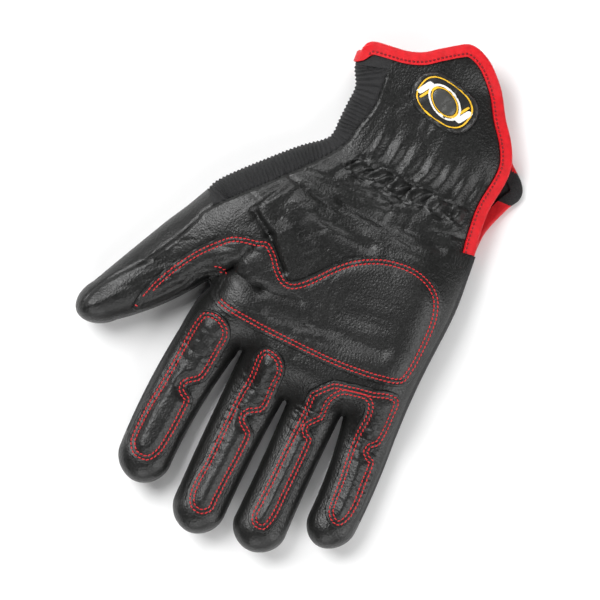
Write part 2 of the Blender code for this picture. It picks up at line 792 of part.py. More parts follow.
def oval(middle, length, height, turn, count, squareness=2.6):
    """A badge outline with soft corners."""
    angle = np.arange(count) * 2.0 * math.pi / count
    c, s = np.cos(angle), np.sin(angle)
    x = 0.5 * length * np.sign(c) * np.abs(c) ** (2.0 / squareness)
    y = 0.5 * height * np.sign(s) * np.abs(s) ** (2.0 / squareness)
    a = math.radians(turn)
    return middle + np.stack([x * math.cos(a) - y * math.sin(a), x * math.sin(a) + y * math.cos(a)], axis=1)


def patch_loops():
    """Outlines of the overlays and the badge, as closed loops on the plan."""
    palm = [THUMB.point(t, a) for t, a in PALM_PATCH_THUMB]
    palm += [hand_point(along, across) for along, across in PALM_PATCH_HAND]
    index = [DIGITS["index"].point(t, a) for t, a in INDEX_PATCH]
    middle = [DIGITS["middle"].point(t, a) for t, a in MIDDLE_PATCH]
    ring = [DIGITS["ring"].point(t, a) for t, a in RING_PART]
    little = [DIGITS["little"].point(t, a) for t, a in LITTLE_PART]
    back = [DIGITS["ring"].point(t, a) for t, a in RING_RETURN]
    centre = np.array([BADGE_ACROSS * CUFF_WIDTH, BADGE_ALONG * PALM_LENGTH])
    loops = {
        "palm_patch": curve_through(palm, OUTLINE_STEP * 1.2, closed=True),
        "index_patch": curve_through(index, OUTLINE_STEP, closed=True),
        "middle_patch": curve_through(middle, OUTLINE_STEP, closed=True),
        "ring_little_patch": curve_through(ring + little + back, OUTLINE_STEP, closed=True),
        "badge_plate": oval(centre, BADGE_LENGTH, BADGE_HEIGHT, BADGE_TURN, 24),
        "badge_rim": oval(centre, 0.82 * BADGE_LENGTH, 0.78 * BADGE_HEIGHT, BADGE_TURN, 20),
        "badge_emblem": oval(centre, 0.56 * BADGE_LENGTH, 0.50 * BADGE_HEIGHT, BADGE_TURN, 16),
    }
    return loops


def edge_line(rows, start, end):
    """An open edge of the front or back from the slit's bottom to the cuff's thumb corner."""
    return curve_through([tuple(start)] + rows + [tuple(end)], EDGE_STEP)


def offset_inwards(line, amount):
    """The line moved to its left, without the folds that tight bends would make."""
    moved = line + normals_of(line) * amount
    keep = distance_to(moved, line) > 0.93 * amount
    keep[0] = keep[-1] = True
    return moved[keep]


def face_heights(verts, top):
    away = distance_to(verts, SIDE)
    return np.column_stack([verts, shell(verts, away, top)])


def build_form():
    form = Form()
    rows = []
    for turn in RIM_TURNS:
        line, away = inset(turn)
        rows.append(form.add_points(np.column_stack([line, shell(line, away, turn > 0.0)])))
    faces, regions, band = [], [], []
    for low, high in zip(rows, rows[1:]):
        for i in range(len(SIDE) - 1):
            faces += [(low[i], high[i + 1], high[i]), (low[i], low[i + 1], high[i + 1])]
            regions += [rim_region(i)] * 2
            band += [SIDE_TAGS[i] == "cuff_band"] * 2
    form.rim = form.add_faces(faces, regions)
    form.bands = [(form.rim, np.array(band))]
    add_top(form, inset(RIM_TURNS[-1])[0], rows[-1])
    add_bottom(form, inset(RIM_TURNS[0])[0], rows[0])
    form.finish()
    form.corner = [row[0] for row in rows[1:-1]]
    return form


def rim_region(i):
    tag = SIDE_TAGS[i]
    if tag in ("thumb_outer", "thumb_tip", "thumb_inner"):
        return "thumb_back"
    if tag.endswith("_tip"):
        return tag + "_back"
    names = {"index_right": "fourchette_index_middle", "middle_left": "fourchette_index_middle"}
    names.update({"middle_right": "fourchette_middle_ring", "ring_left": "fourchette_middle_ring"})
    names.update({"ring_right": "fourchette_ring_little", "little_left": "fourchette_ring_little"})
    if tag == "crotch":
        before = max(k for k in range(i) if SIDE_TAGS[k] != "crotch")
        return names[SIDE_TAGS[before]]
    return names.get(tag, "back_panel")


def band_line(edge, ring):
    """The inner edge of the binding, from the slit's bottom to the side outline."""
    band = offset_inwards(edge, TAPE_WIDTH)
    return np.vstack([band[:-1], ring[SIDE_STARTS["knit_side"]]])


def band_polygon(edge, ring, band):
    return np.vstack([edge, ring[1 : SIDE_STARTS["knit_side"] + 1], band[::-1][1:]])


def clear_of(points, others, reach):
    return points[distance_to_points(points, others) > reach]


def face_rows(ring):
    """Rows of points that follow the rounded edge within the front or the back."""
    rows = np.vstack([inset(turn)[0] for turn in FACE_TURNS])
    return rows[inside(rows, ring_polygon(ring))]


def top_points(boundary, ring):
    detail = np.array(gather_points() + crease_points())
    rows = face_rows(ring)
    grid = hex_grid(boundary.min(axis=0), boundary.max(axis=0), TOP_STEP)
    grid = clear_of(clear_of(grid, detail, 0.45 * TOP_STEP), rows, 0.5 * TOP_STEP)
    return np.vstack([detail, rows, grid])


def seam_on(ring, mouth):
    """The seam from the thumb's tip to the mouth, its place on the mouth, and the cross band's place."""
    thumb = [THUMB.point(t, a) for t, a in THUMB_SEAM]
    knit = [hand_point(along, across) for along, across in KNIT_SEAM]
    half = len(mouth) // 2
    mouth_at = int(np.argmin(np.abs(mouth[half:, 0] - knit[-1][0]))) + half
    start = ring[SIDE_STARTS["thumb_tip"]]
    seam = curve_through([tuple(start)] + thumb + knit + [tuple(mouth[mouth_at])], SIDE_STEP * 0.8)
    joint = int(np.argmin(np.linalg.norm(seam - thumb[-1], axis=1)))
    return seam, mouth_at, joint


def add_top(form, ring, ring_index):
    edge = edge_line(FRONT_EDGE_ROWS, ring[-1], ring[0])
    boundary = np.vstack([ring, edge[1:-1]])
    mouth = edge[1:-1]
    seam, mouth_at, joint = seam_on(ring, mouth)
    tip_at, cross_at = SIDE_STARTS["thumb_tip"], SIDE_STARTS["thumb_outer"]
    cross = resample(np.array([ring[cross_at], seam[joint]]), CROSS_STEP)
    band = band_line(edge, ring)
    band_start = np.array([ring[-1], band[0]])
    form.loops = patch_loops()
    lines = [seam, cross, band, band_start]
    free = top_points(boundary, ring)
    verts, faces, place = triangulate(boundary, lines, list(form.loops.values()), free, 0.45 * TOP_STEP)
    index = place_points(form, ring_index, place, face_heights(verts, True))
    middle = verts[faces].mean(axis=1)
    regions = np.full(len(faces), "palm_panel", dtype=object)
    strip = np.vstack([ring[: tip_at + 1], seam[1:], mouth[mouth_at + 1 :]])
    below = np.vstack([ring[cross_at : tip_at + 1], seam[1 : joint + 1]])
    in_strip = inside(middle, strip)
    regions[in_strip] = "back_panel"
    regions[in_strip & inside(middle, below)] = "thumb_back"
    form.top = form.add_faces(index[faces], regions)
    form.top_plan = middle
    form.front_edge = index[[place[len(ring) - 1]] + place[len(ring) :] + [place[0]]]
    form.bands.append((form.top, inside(middle, band_polygon(edge, ring, band))))


def place_points(form, ring_index, place, heights):
    """Adds the face's points to the form, apart from those that the rim has, and numbers them all."""
    shared = set(place[: len(ring_index)])
    new = [i for i in range(len(heights)) if i not in shared]
    index = np.full(len(heights), -1)
    index[place[: len(ring_index)]] = ring_index
    index[new] = form.add_points(heights[new])
    return index


def add_bottom(form, ring, ring_index):
    edge = edge_line(BACK_EDGE_ROWS, ring[-1], ring[0])
    boundary = np.vstack([ring, edge[1:-1]])
    lines = []
    polygons = {}
    for name in FINGER_NAMES:
        start = SIDE_STARTS[name + "_tip"]
        end = start + SIDE_TAGS.count(name + "_tip")
        lines.append(resample(np.array([ring[start], ring[end]]), SIDE_STEP * 0.8))
        polygons[name + "_tip_back"] = ring[start : end + 1]
    start, end = SIDE_STARTS["thumb_outer"], SIDE_STARTS["notch"]
    lines.append(resample(np.array([ring[start], ring[end]]), SIDE_STEP))
    polygons["thumb_back"] = ring[start : end + 1]
    band = band_line(edge, ring)
    lines += [band, np.array([ring[-1], band[0]])]
    rows = face_rows(ring)
    grid = hex_grid(boundary.min(axis=0), boundary.max(axis=0), BACK_STEP)
    free = np.vstack([rows, clear_of(grid, rows, 0.4 * BACK_STEP)])
    verts, faces, place = triangulate(boundary, lines, [], free, 0.45 * TOP_STEP)
    index = place_points(form, ring_index, place, face_heights(verts, False))
    middle = verts[faces].mean(axis=1)
    regions = np.full(len(faces), "back_panel", dtype=object)
    for name, polygon in polygons.items():
        regions[inside(middle, polygon)] = name
    form.bottom = form.add_faces(index[faces][:, ::-1], regions)
    form.back_edge = index[[place[len(ring) - 1]] + place[len(ring) :] + [place[0]]]
    form.bands.append((form.bottom, inside(middle, band_polygon(edge, ring, band))))


def ring_polygon(ring):
    return np.vstack([ring, [[ring[-1, 0], PALM_LENGTH], [ring[0, 0], PALM_LENGTH]]])


def distance_to_points(points, others):
    best = np.full(len(points), np.inf)
    for start in range(0, len(points), CHUNK):
        away = points[start : start + CHUNK, None, :] - others[None, :, :]
        best[start : start + CHUNK] = np.sqrt((away * away).sum(2).min(axis=1))
    return best


def gather_points():
    """Points on the crests and valleys of the wrist's puckers."""
    points = []
    for start, end, _, half in GATHER_ROWS:
        for share in np.arange(0.0, 1.0001, 0.5 / GATHER_PUFFS):
            across = GATHER_FROM + (GATHER_TO - GATHER_FROM) * share
            for shift in (-1.1, 0.0, 1.1):
                points.append(hand_point(start + (end - start) * share + shift * half / PALM_LENGTH, across))
    return points


def crease_points():
    """Points along each crease's valley and both its shoulders."""
    points = []
    for _, at, over, to, end, half, _ in CREASES:
        a, b = hand_point(at, over), hand_point(to, end)
        run = (b - a) / np.linalg.norm(b - a)
        side = np.array([-run[1], run[0]])
        for share in np.linspace(0.0, 1.0, max(3, int(np.linalg.norm(b - a) / CREASE_STEP))):
            for shift in (-1.6, 0.0, 1.6):
                points.append(a + (b - a) * share + side * shift * half)
    return points


def boundary_of(faces):
    """Directed edges that only one triangle of the set has."""
    edges = np.concatenate([faces[:, [0, 1]], faces[:, [1, 2]], faces[:, [2, 0]]])
    most = faces.max() + 1
    return edges[~np.isin(edges[:, 0] * most + edges[:, 1], edges[:, 1] * most + edges[:, 0])]


def shrunk(points, normals, faces, amount):
    """The points with the set's own border moved inwards within the surface."""
    moved = points.copy()
    border = boundary_of(faces)
    pushes = {}
    for a, b in border:
        run = points[b] - points[a]
        inwards = np.cross(normals[a] + normals[b], run)
        inwards /= np.linalg.norm(inwards)
        pushes.setdefault(a, []).append(inwards)
        pushes.setdefault(b, []).append(inwards)
    for vertex, ways in pushes.items():
        total = np.sum(ways[:2], axis=0)
        moved[vertex] += amount * total / max(0.5, 1.0 + float(np.dot(ways[0], ways[-1])))
    return moved, border


def skin(points, normals, faces, outer, inner):
    """A closed wall between two offsets of the triangles along the form's normals."""
    used = np.unique(faces)
    local = np.full(len(points), -1)
    local[used] = np.arange(len(used))
    count = len(used)
    outer = outer[used] if np.ndim(outer) else np.full(count, outer)
    inner = inner[used] if np.ndim(inner) else np.full(count, inner)
    high = points[used] + normals[used] * outer[:, None]
    low = points[used] + normals[used] * inner[:, None]
    near = local[faces]
    sides = []
    for a, b in boundary_of(faces):
        i, j = local[a], local[b]
        sides += [(i, i + count, j + count), (i, j + count, j)]
    return np.vstack([high, low]), np.vstack([near, near[:, ::-1] + count, np.array(sides)])


def material(name, colour, roughness, metallic=0.0):
    made = bpy.data.materials.new(name)
    made.use_nodes = True
    shader = made.node_tree.nodes["Principled BSDF"]
    shader.inputs["Base Color"].default_value = (*colour, 1.0)
    shader.inputs["Roughness"].default_value = roughness
    shader.inputs["Metallic"].default_value = metallic
    made.diffuse_color = (*colour, 1.0)
    return made


def add_object(name, points, faces, colour, roughness):
    mesh = bpy.data.meshes.new(name)
    mesh.from_pydata([tuple(p) for p in points], [], [tuple(int(i) for i in f) for f in faces])
    mesh.update()
    mesh.shade_smooth()
    mesh.set_sharp_from_angle(angle=math.radians(40.0))
    mesh.materials.append(material(name, colour, roughness))
    made = bpy.data.objects.new(name, mesh)
    bpy.context.scene.collection.objects.link(made)
    return made


def move_origin():
    """Puts the origin under the middle of the glove's box, at the height of what it lies on."""
    corners = np.array([v.co for o in bpy.context.scene.objects for v in o.data.vertices])
    low, high = corners.min(axis=0), corners.max(axis=0)
    shift = Vector((-0.5 * (low[0] + high[0]), -0.5 * (low[1] + high[1]), -low[2]))
    for made in bpy.context.scene.objects:
        made.data.transform(Matrix.Translation(shift))


def binding(form, faces, edge):
    """Tape folded over the open edge: two legs on the panels and a rounded fold beyond the edge."""
    points, border = shrunk(form.points, form.normals, faces, 0.5 * GAP)
    used = np.unique(faces)
    local = {v: k for k, v in enumerate(used)}
    count = len(used)
    wall = KNIT
    offsets = (GAP + TAPE, GAP, -wall - GAP, -wall - GAP - TAPE)
    layers = [points[used] + form.normals[used] * amount for amount in offsets]
    near = np.array([[local[v] for v in face] for face in faces])
    tris = [near, near[:, ::-1] + count, near + 2 * count, near[:, ::-1] + 3 * count]
    verts = list(np.vstack(layers))
    edge_set = {(a, b) for a, b in zip(edge, edge[1:])} | {(b, a) for a, b in zip(edge, edge[1:])}
    outwards = {}
    for a, b in border:
        if (a, b) in edge_set:
            run = points[b] - points[a]
            way = -np.cross(form.normals[a] + form.normals[b], run)
            way /= np.linalg.norm(way)
            outwards.setdefault(a, []).append(way)
            outwards.setdefault(b, []).append(way)
    folds = {}
    for v, ways in outwards.items():
        way = np.sum(ways, axis=0)
        way /= np.linalg.norm(way)
        middle = points[v] - form.normals[v] * wall / 2
        for key, reach in (("outer", GAP + TAPE), ("inner", GAP)):
            row = [local[v] + (0 if key == "outer" else count)]
            for angle in (45.0, 90.0, 135.0) if key == "outer" else (90.0,):
                turn = math.radians(angle)
                out = way * reach * math.sin(turn)
                up = form.normals[v] * (wall / 2 + reach) * math.cos(turn)
                row.append(len(verts))
                verts.append(middle + out + up)
            row.append(local[v] + (3 * count if key == "outer" else 2 * count))
            folds[v, key] = row
    sides = []
    for a, b in border:
        if (a, b) in edge_set:
            for key in ("outer", "inner"):
                one, two = folds[a, key], folds[b, key]
                for k in range(len(one) - 1):
                    quad = [(one[k], one[k + 1], two[k + 1]), (one[k], two[k + 1], two[k])]
                    sides += quad if key == "outer" else [q[::-1] for q in quad]
        else:
            i, j = local[a], local[b]
            for high, low in ((0, 1), (2, 3)):
                p, q = high * count, low * count
                sides += [(i + p, i + q, j + q), (i + p, j + q, j + p)]
    open_edges = [(a, b) for a, b in border if (a, b) in edge_set]
    ends = [v for v in outwards if sum(v in pair for pair in open_edges) == 1]
    for v in ends:
        outer, inner = folds[v, "outer"], folds[v, "inner"]
        starts = any(a == v for a, _ in open_edges)
        fan = [(outer[0], outer[1], inner[0]), (outer[1], inner[1], inner[0]), (outer[1], outer[2], inner[1])]
        fan += [(outer[2], outer[3], inner[1]), (outer[3], inner[2], inner[1])]
        fan.append((outer[3], outer[4], inner[2]))
        sides += [f[::-1] for f in fan] if starts else fan
    return np.array(verts), np.vstack(tris + [np.array(sides)])


LEATHER_BLACK = (0.016, 0.016, 0.017)
PATCH_BLACK = (0.013, 0.013, 0.014)
KNIT_BLACK = (0.020, 0.020, 0.022)
TAPE_RED = (0.82, 0.02, 0.03)
BADGE_BLACK = (0.02, 0.02, 0.02)
BADGE_YELLOW = (0.85, 0.58, 0.03)
BADGE_WHITE = (0.85, 0.85, 0.82)


def pad_height(form, loop, padding):
    """How far a padded overlay rises at each point, from its distance to the overlay's outline."""
    away = distance_to(form.points[:, :2], loop, closed=True)
    return padding * ease(away / PAD_RAMP)


def build():
    for old in list(bpy.data.objects):
        bpy.data.objects.remove(old, do_unlink=True)
    form = build_form()
    knit, leather = (KNIT, KNIT_BLACK, KNIT_ROUGHNESS), (LEATHER, LEATHER_BLACK, LEATHER_ROUGHNESS)
    for name in dict.fromkeys(form.regions):
        faces = form.faces[form.regions == name]
        wall, colour, roughness = knit if name == "back_panel" else leather
        points, _ = shrunk(form.points, form.normals, faces, 0.5 * GAP)
        made = skin(points, form.normals, faces, 0.0, -wall)
        add_object(name, *made, colour, roughness)
    top_faces = form.faces[form.top]
    held = {name: inside(form.top_plan, loop) for name, loop in form.loops.items()}
    for name in ("palm_patch", "index_patch", "middle_patch", "ring_little_patch"):
        faces = top_faces[held[name]]
        padding = 0.3 * PATCH_PADDING if name == "palm_patch" else PATCH_PADDING
        rise = GAP + PATCH_LEATHER + pad_height(form, form.loops[name], padding)
        made = skin(form.points, form.normals, faces, rise, GAP)
        add_object(name, *made, PATCH_BLACK, PATCH_ROUGHNESS)
    plate_top = GAP + BADGE_THICKNESS
    made = skin(form.points, form.normals, top_faces[held["badge_plate"]], plate_top, GAP)
    add_object("badge_plate", *made, BADGE_BLACK, BADGE_ROUGHNESS)
    emblem = held["badge_emblem"]
    ring = held["badge_rim"] & ~emblem
    for name, within, colour in (("badge_rim", ring, BADGE_YELLOW), ("badge_emblem", emblem, BADGE_WHITE)):
        faces = top_faces[within]
        points, _ = shrunk(form.points, form.normals, faces, 0.5 * GAP)
        made = skin(points, form.normals, faces, plate_top + GAP + BADGE_RELIEF, plate_top + GAP)
        add_object(name, *made, colour, BADGE_ROUGHNESS)
    bands = np.vstack([form.faces[part][held] for part, held in form.bands])
    edge = list(form.front_edge) + form.corner[::-1] + list(form.back_edge[::-1])
    made = binding(form, bands, edge)
    add_object("cuff_binding", *made, TAPE_RED, TAPE_ROUGHNESS)
    move_origin()


build()
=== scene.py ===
"""Looks of the leather work glove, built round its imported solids.

The same form as in the solids is laid out again here with much finer spacing, and small folds, grain, ribs
and thread are added to it. Lengths are in metres. The form's own origin is at the middle of the line of
finger roots, and every piece is moved to the frame's place as it is made.
"""

import math

import bpy
import numpy as np
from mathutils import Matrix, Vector
from mathutils.bvhtree import BVHTree
from mathutils.geometry import delaunay_2d_cdt


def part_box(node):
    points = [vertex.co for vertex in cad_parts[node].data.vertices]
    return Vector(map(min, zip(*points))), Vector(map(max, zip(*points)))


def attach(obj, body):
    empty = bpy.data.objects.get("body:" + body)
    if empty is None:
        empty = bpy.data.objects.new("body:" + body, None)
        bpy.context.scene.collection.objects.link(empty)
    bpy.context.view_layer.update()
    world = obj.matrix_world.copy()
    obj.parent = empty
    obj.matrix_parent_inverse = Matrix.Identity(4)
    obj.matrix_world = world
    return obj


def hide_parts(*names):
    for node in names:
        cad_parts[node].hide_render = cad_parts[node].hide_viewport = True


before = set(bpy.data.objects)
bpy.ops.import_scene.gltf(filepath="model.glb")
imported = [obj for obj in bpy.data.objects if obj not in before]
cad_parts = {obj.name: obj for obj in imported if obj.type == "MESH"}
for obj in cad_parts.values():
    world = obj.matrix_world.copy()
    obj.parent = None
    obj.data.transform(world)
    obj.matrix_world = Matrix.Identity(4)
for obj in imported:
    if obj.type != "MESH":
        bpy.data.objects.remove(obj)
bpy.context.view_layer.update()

# Mesh spacing.
COARSER = 1.0
RIB_PITCH = 0.00185
RIB_HEIGHT = 0.00032
SIDE_STEP = 0.0010 * COARSER
KNIT_STEP = RIB_PITCH / 5.0 * COARSER
TIP_STEP = 0.0009 * COARSER
TOP_STEP = 0.00088 * COARSER
BACK_STEP = 0.0013 * COARSER
EDGE_STEP = 0.0010 * COARSER
CROSS_STEP = 0.0010 * COARSER
BAND_STEP = 0.0010 * COARSER
OUTLINE_STEP = 0.0008 * COARSER
RIM_TURNS = (-24.0, -12.0, 0.0, 12.0, 24.0)
FACE_TURNS = (32.0, 44.0, 56.0)


# Hand, seen from above. Y is measured from the line of the finger roots while the form is made.
PALM_LENGTH = 0.156
PALM_WIDTH = 0.110
WRIST_WIDTH = 0.081
CUFF_WIDTH = 0.074
CUFF_RISE = 0.0216
SLIT_LENGTH = 0.065
CROTCH_GAP = 0.0013
NOTCH_IN = 0.0030
NOTCH_RISE = 0.0250
NOTCH_GAP = 0.0036
WRIST_SHIFT = 0.0070
MIDDLE_CROTCH_X = -0.0044

# Thickness of the stuffed form, from the surface it lies on, and how wide its edges are rounded.
FINGER_DEPTH = 0.0175
THUMB_DEPTH = 0.0205
PALM_DEPTH = 0.0270
WRIST_DEPTH = 0.0200
CUFF_DEPTH = 0.0210
FINGER_ROUND = 0.0115
THUMB_ROUND = 0.0130
PALM_ROUND = 0.0200
CUFF_ROUND = 0.0150
FINGER_CURL = 0.0050
RIM_SHARE = 0.43

# Walls and clearances
LEATHER = 0.0014
KNIT = 0.0016
PATCH_LEATHER = 0.0011
TAPE = 0.0009
TAPE_WIDTH = 0.0050
GAP = 0.0003
BADGE_LENGTH = 0.0330
BADGE_HEIGHT = 0.0215
BADGE_THICKNESS = 0.0014
BADGE_RELIEF = 0.0006
TIP_ROUNDNESS = 1.9

# Each finger: its length, its widths at root, middle and tip, the bow of its axis, its lean at the tip, how
# far its root lies below the line of roots, and the share of its length in its rounded end.
FINGER_COLUMNS = ("name", "length", "root", "middle", "tip", "bow", "lean", "drop", "end")
FINGERS = (
    ("index", 0.0722, 0.0288, 0.0263, 0.0249, -0.0022, -0.0053, -0.0069, 0.175),
    ("middle", 0.0768, 0.0272, 0.0252, 0.0246, -0.0008, -0.0028, 0.0000, 0.165),
    ("ring", 0.0713, 0.0252, 0.0241, 0.0250, 0.0000, -0.0014, 0.0023, 0.165),
    ("little", 0.0584, 0.0258, 0.0236, 0.0228, 0.0016, 0.0008, 0.0009, 0.210),
)
# Where each crotch lies above the line of finger roots.
CROTCHES = (("index_middle", 0.0083), ("middle_ring", -0.0050), ("ring_little", -0.0008))

THUMB_LENGTH = 0.0575
THUMB_ROOT = 0.0330
THUMB_MIDDLE = 0.0276
THUMB_TIP = 0.0206
THUMB_END = 0.24
THUMB_LEAN = 35.8
THUMB_BOW = 0.0015
THUMB_TIP_SHIFT = -0.0008
THUMB_SINK = 0.0012

# Side outline of the wrist and cuff on the thumb side: share of PALM_LENGTH, the width it follows, its share.
THUMB_SIDE_ROWS = (
    (1.000, "cuff", -0.503),
    (0.955, "cuff", -0.493),
    (0.905, "wrist", -0.490),
    (0.855, "wrist", -0.492),
    (0.796, "wrist", -0.498),
    (0.752, "wrist", -0.500),
    (0.723, "wrist", -0.534),
    (0.664, "wrist", -0.672),
)
# The web between wrist and thumb, in shares of the thumb's length and of its half width at the root.
WEB_ROWS = ((-0.57, -1.26), (-0.39, -1.19), (-0.20, -1.08))
# The little-finger side of the palm: share of PALM_LENGTH up to the slit, share of PALM_WIDTH from the notch.
PALM_SIDE_ROWS = ((0.10, 0.978), (0.22, 0.983), (0.40, 1.0), (0.516, 0.992))
SLIT_SIDE = 0.985

# Front edge of the slit: share of SLIT_LENGTH above its bottom, share of WRIST_WIDTH from its middle.
FRONT_SLIT_ROWS = ((0.12, 0.484), (0.33, 0.472), (0.55, 0.495), (0.69, 0.489), (0.83, 0.436), (0.97, 0.353))
# Front mouth: share of CUFF_WIDTH, share of CUFF_RISE above the side corner.
FRONT_MOUTH_ROWS = (
    (0.410, 0.313),
    (0.337, 0.606),
    (0.258, 0.846),
    (0.171, 0.988),
    (0.101, 1.000),
    (0.030, 0.860),
    (-0.050, 0.670),
    (-0.130, 0.470),
    (-0.230, 0.350),
    (-0.346, 0.301),
    (-0.440, 0.250),
    (-0.478, 0.140),
)
BACK_SLIT_ROWS = ((0.19, 0.505), (0.40, 0.565), (0.51, 0.610), (0.60, 0.585), (0.72, 0.478))
BACK_MOUTH_ROWS = ((0.390, -0.05), (0.20, 0.05), (-0.10, 0.08), (-0.40, 0.06))

# Seam between leather and the thumb back, in thumb shares, then between leather and knit, in hand shares.
THUMB_SEAM = (
    (0.948, -0.36),
    (0.863, -0.51),
    (0.770, -0.69),
    (0.652, -0.67),
    (0.516, -0.58),
    (0.381, -0.45),
    (0.288, -0.41),
    (0.129, -0.43),
    (-0.070, -0.47),
    (-0.206, -0.60),
    (-0.365, -0.70),
)
KNIT_SEAM = ((0.613, 0.141), (0.726, 0.106), (0.797, 0.115), (0.869, 0.148), (0.960, 0.198))
CROSS_BAND_AT = -0.40

# Palm patch: first along the thumb and round the notch in thumb shares, then hand shares.
PALM_PATCH_THUMB = (
    (-0.255, 0.14),
    (-0.087, 0.08),
    (0.088, 0.07),
    (0.280, 0.13),
    (0.423, 0.28),
    (0.541, 0.50),
    (0.600, 0.72),
    (0.555, 0.85),
    (0.420, 0.88),
    (0.280, 0.88),
    (0.140, 0.87),
    (0.020, 0.82),
)
PALM_PATCH_HAND = (
    (0.235, 0.050),
    (0.175, 0.045),
    (0.145, 0.110),
    (0.132, 0.251),
    (0.123, 0.456),
    (0.120, 0.656),
    (0.130, 0.832),
    (0.150, 0.935),
    (0.204, 0.962),
    (0.279, 0.965),
    (0.345, 0.960),
    (0.390, 0.947),
    (0.433, 0.924),
    (0.466, 0.876),
    (0.485, 0.805),
    (0.485, 0.729),
    (0.471, 0.648),
    (0.442, 0.567),
    (0.401, 0.494),
    (0.346, 0.423),
    (0.314, 0.374),
    (0.303, 0.335),
    (0.324, 0.298),
    (0.361, 0.265),
    (0.387, 0.222),
    (0.379, 0.170),
    (0.371, 0.111),
    (0.358, 0.062),
)

# Finger patches: share along the finger, share across its half width. Each has a notch on the side of the
# little finger.
INDEX_PATCH = (
    (-0.180, -0.53),
    (-0.129, -0.69),
    (-0.015, -0.76),
    (0.152, -0.72),
    (0.361, -0.72),
    (0.526, -0.79),
    (0.705, -0.82),
    (0.790, -0.77),
    (0.860, -0.43),
    (0.862, 0.20),
    (0.778, 0.58),
    (0.644, 0.69),
    (0.499, 0.70),
    (0.378, 0.62),
    (0.321, 0.24),
    (0.261, 0.57),
    (0.190, 0.66),
    (0.033, 0.60),
    (-0.072, 0.58),
    (-0.150, 0.36),
    (-0.195, -0.10),
)
MIDDLE_PATCH = (
    (-0.200, -0.33),
    (-0.140, -0.54),
    (0.000, -0.50),
    (0.123, -0.56),
    (0.282, -0.57),
    (0.418, -0.56),
    (0.573, -0.57),
    (0.687, -0.64),
    (0.797, -0.60),
    (0.870, -0.33),
    (0.885, 0.20),
    (0.831, 0.59),
    (0.740, 0.63),
    (0.585, 0.67),
    (0.439, 0.70),
    (0.310, 0.64),
    (0.235, 0.18),
    (0.185, 0.58),
    (0.122, 0.70),
    (0.006, 0.63),
    (-0.101, 0.62),
    (-0.172, 0.38),
    (-0.205, -0.01),
)
# The ring and little fingers share one overlay: down the ring finger, down the little finger, and back.
RING_PART = (
    (-0.088, -0.44),
    (0.020, -0.43),
    (0.118, -0.46),
    (0.320, -0.51),
    (0.477, -0.53),
    (0.645, -0.56),
    (0.771, -0.57),
    (0.840, -0.38),
    (0.862, -0.03),
    (0.837, 0.30),
    (0.731, 0.49),
    (0.561, 0.52),
    (0.415, 0.54),
    (0.250, 0.54),
    (0.175, 0.48),
    (0.132, 0.18),
    (0.090, 0.34),
    (0.040, 0.56),
    (-0.030, 0.54),
    (-0.090, 0.56),
    (-0.140, 0.76),
    (-0.158, 1.10),
)
LITTLE_PART = (
    (-0.180, -0.56),
    (-0.140, -0.42),
    (-0.060, -0.41),
    (0.050, -0.50),
    (0.208, -0.58),
    (0.440, -0.56),
    (0.617, -0.54),
    (0.720, -0.46),
    (0.795, -0.11),
    (0.800, 0.34),
    (0.715, 0.63),
    (0.574, 0.72),
    (0.408, 0.68),
    (0.270, 0.68),
    (0.195, 0.62),
    (0.152, 0.32),
    (0.090, 0.60),
    (-0.024, 0.72),
    (-0.162, 0.73),
    (-0.280, 0.72),
    (-0.338, 0.50),
    (-0.342, 0.10),
    (-0.310, -0.40),
    (-0.288, -1.04),
)
RING_RETURN = ((-0.250, 0.90), (-0.225, 0.25), (-0.178, -0.06), (-0.135, -0.28))

# Mounds and hollows of the front: centre and half sizes in hand shares (along, across), and height.
MOUNDS = (
    ("thumb heel", 0.44, 0.26, 0.16, 0.20, 0.0035),
    ("palm hollow", 0.25, 0.50, 0.12, 0.24, -0.0030),
    ("little heel", 0.42, 0.82, 0.15, 0.18, 0.0022),
    ("finger roots", 0.06, 0.50, 0.07, 0.42, 0.0018),
    ("heel break", 0.60, 0.55, 0.05, 0.45, -0.0022),
)
# Creases of the front: both ends in hand shares (along, across), half width, depth.
CREASES = (
    ("notch crease", 0.215, 0.020, 0.274, 0.100, 0.0026, 0.0042),
    ("web fold", 0.274, 0.100, 0.345, 0.155, 0.0022, 0.0022),
    ("root fold", 0.262, 0.095, 0.246, 0.230, 0.0028, 0.0026),
    ("root fold end", 0.246, 0.230, 0.262, 0.400, 0.0032, 0.0014),
    ("patch fold", 0.446, 0.138, 0.400, 0.215, 0.0017, 0.0016),
    ("patch fold low", 0.400, 0.215, 0.320, 0.305, 0.0018, 0.0017),
    ("heel fold high", 0.478, 0.309, 0.482, 0.600, 0.0030, 0.0013),
    ("heel fold low", 0.457, 0.240, 0.429, 0.540, 0.0028, 0.0012),
    ("heel fold wide", 0.567, 0.420, 0.560, 0.850, 0.0034, 0.0014),
    ("palm fold", 0.190, 0.300, 0.220, 0.800, 0.0035, 0.0012),
)
# Gathers of the wrist, in rows of puffs. Each row: share of PALM_LENGTH at both ends, height, half width.
GATHER_ROWS = ((0.692, 0.668, 0.0017, 0.0042), (0.765, 0.742, 0.0008, 0.0075))
GATHER_PUFFS = 6.5
GATHER_FROM = 0.210
GATHER_TO = 0.925

BADGE_ALONG = 0.960
BADGE_ACROSS = 0.103
BADGE_TURN = -14.0

# Sampling and softening lengths.
FINE_STEP = 0.0010
PALM_SIDE_STEP = 0.0020
EDGE_CURVE_STEP = 0.0040

# Points handled at a time, the smallest number that is divided by, and how close two points count as one.
CHUNK = 1500
TINY = 1e-18
WELD = 1e-7


def ease(x):
    x = np.clip(x, 0.0, 1.0)
    return x * x * (3.0 - 2.0 * x)


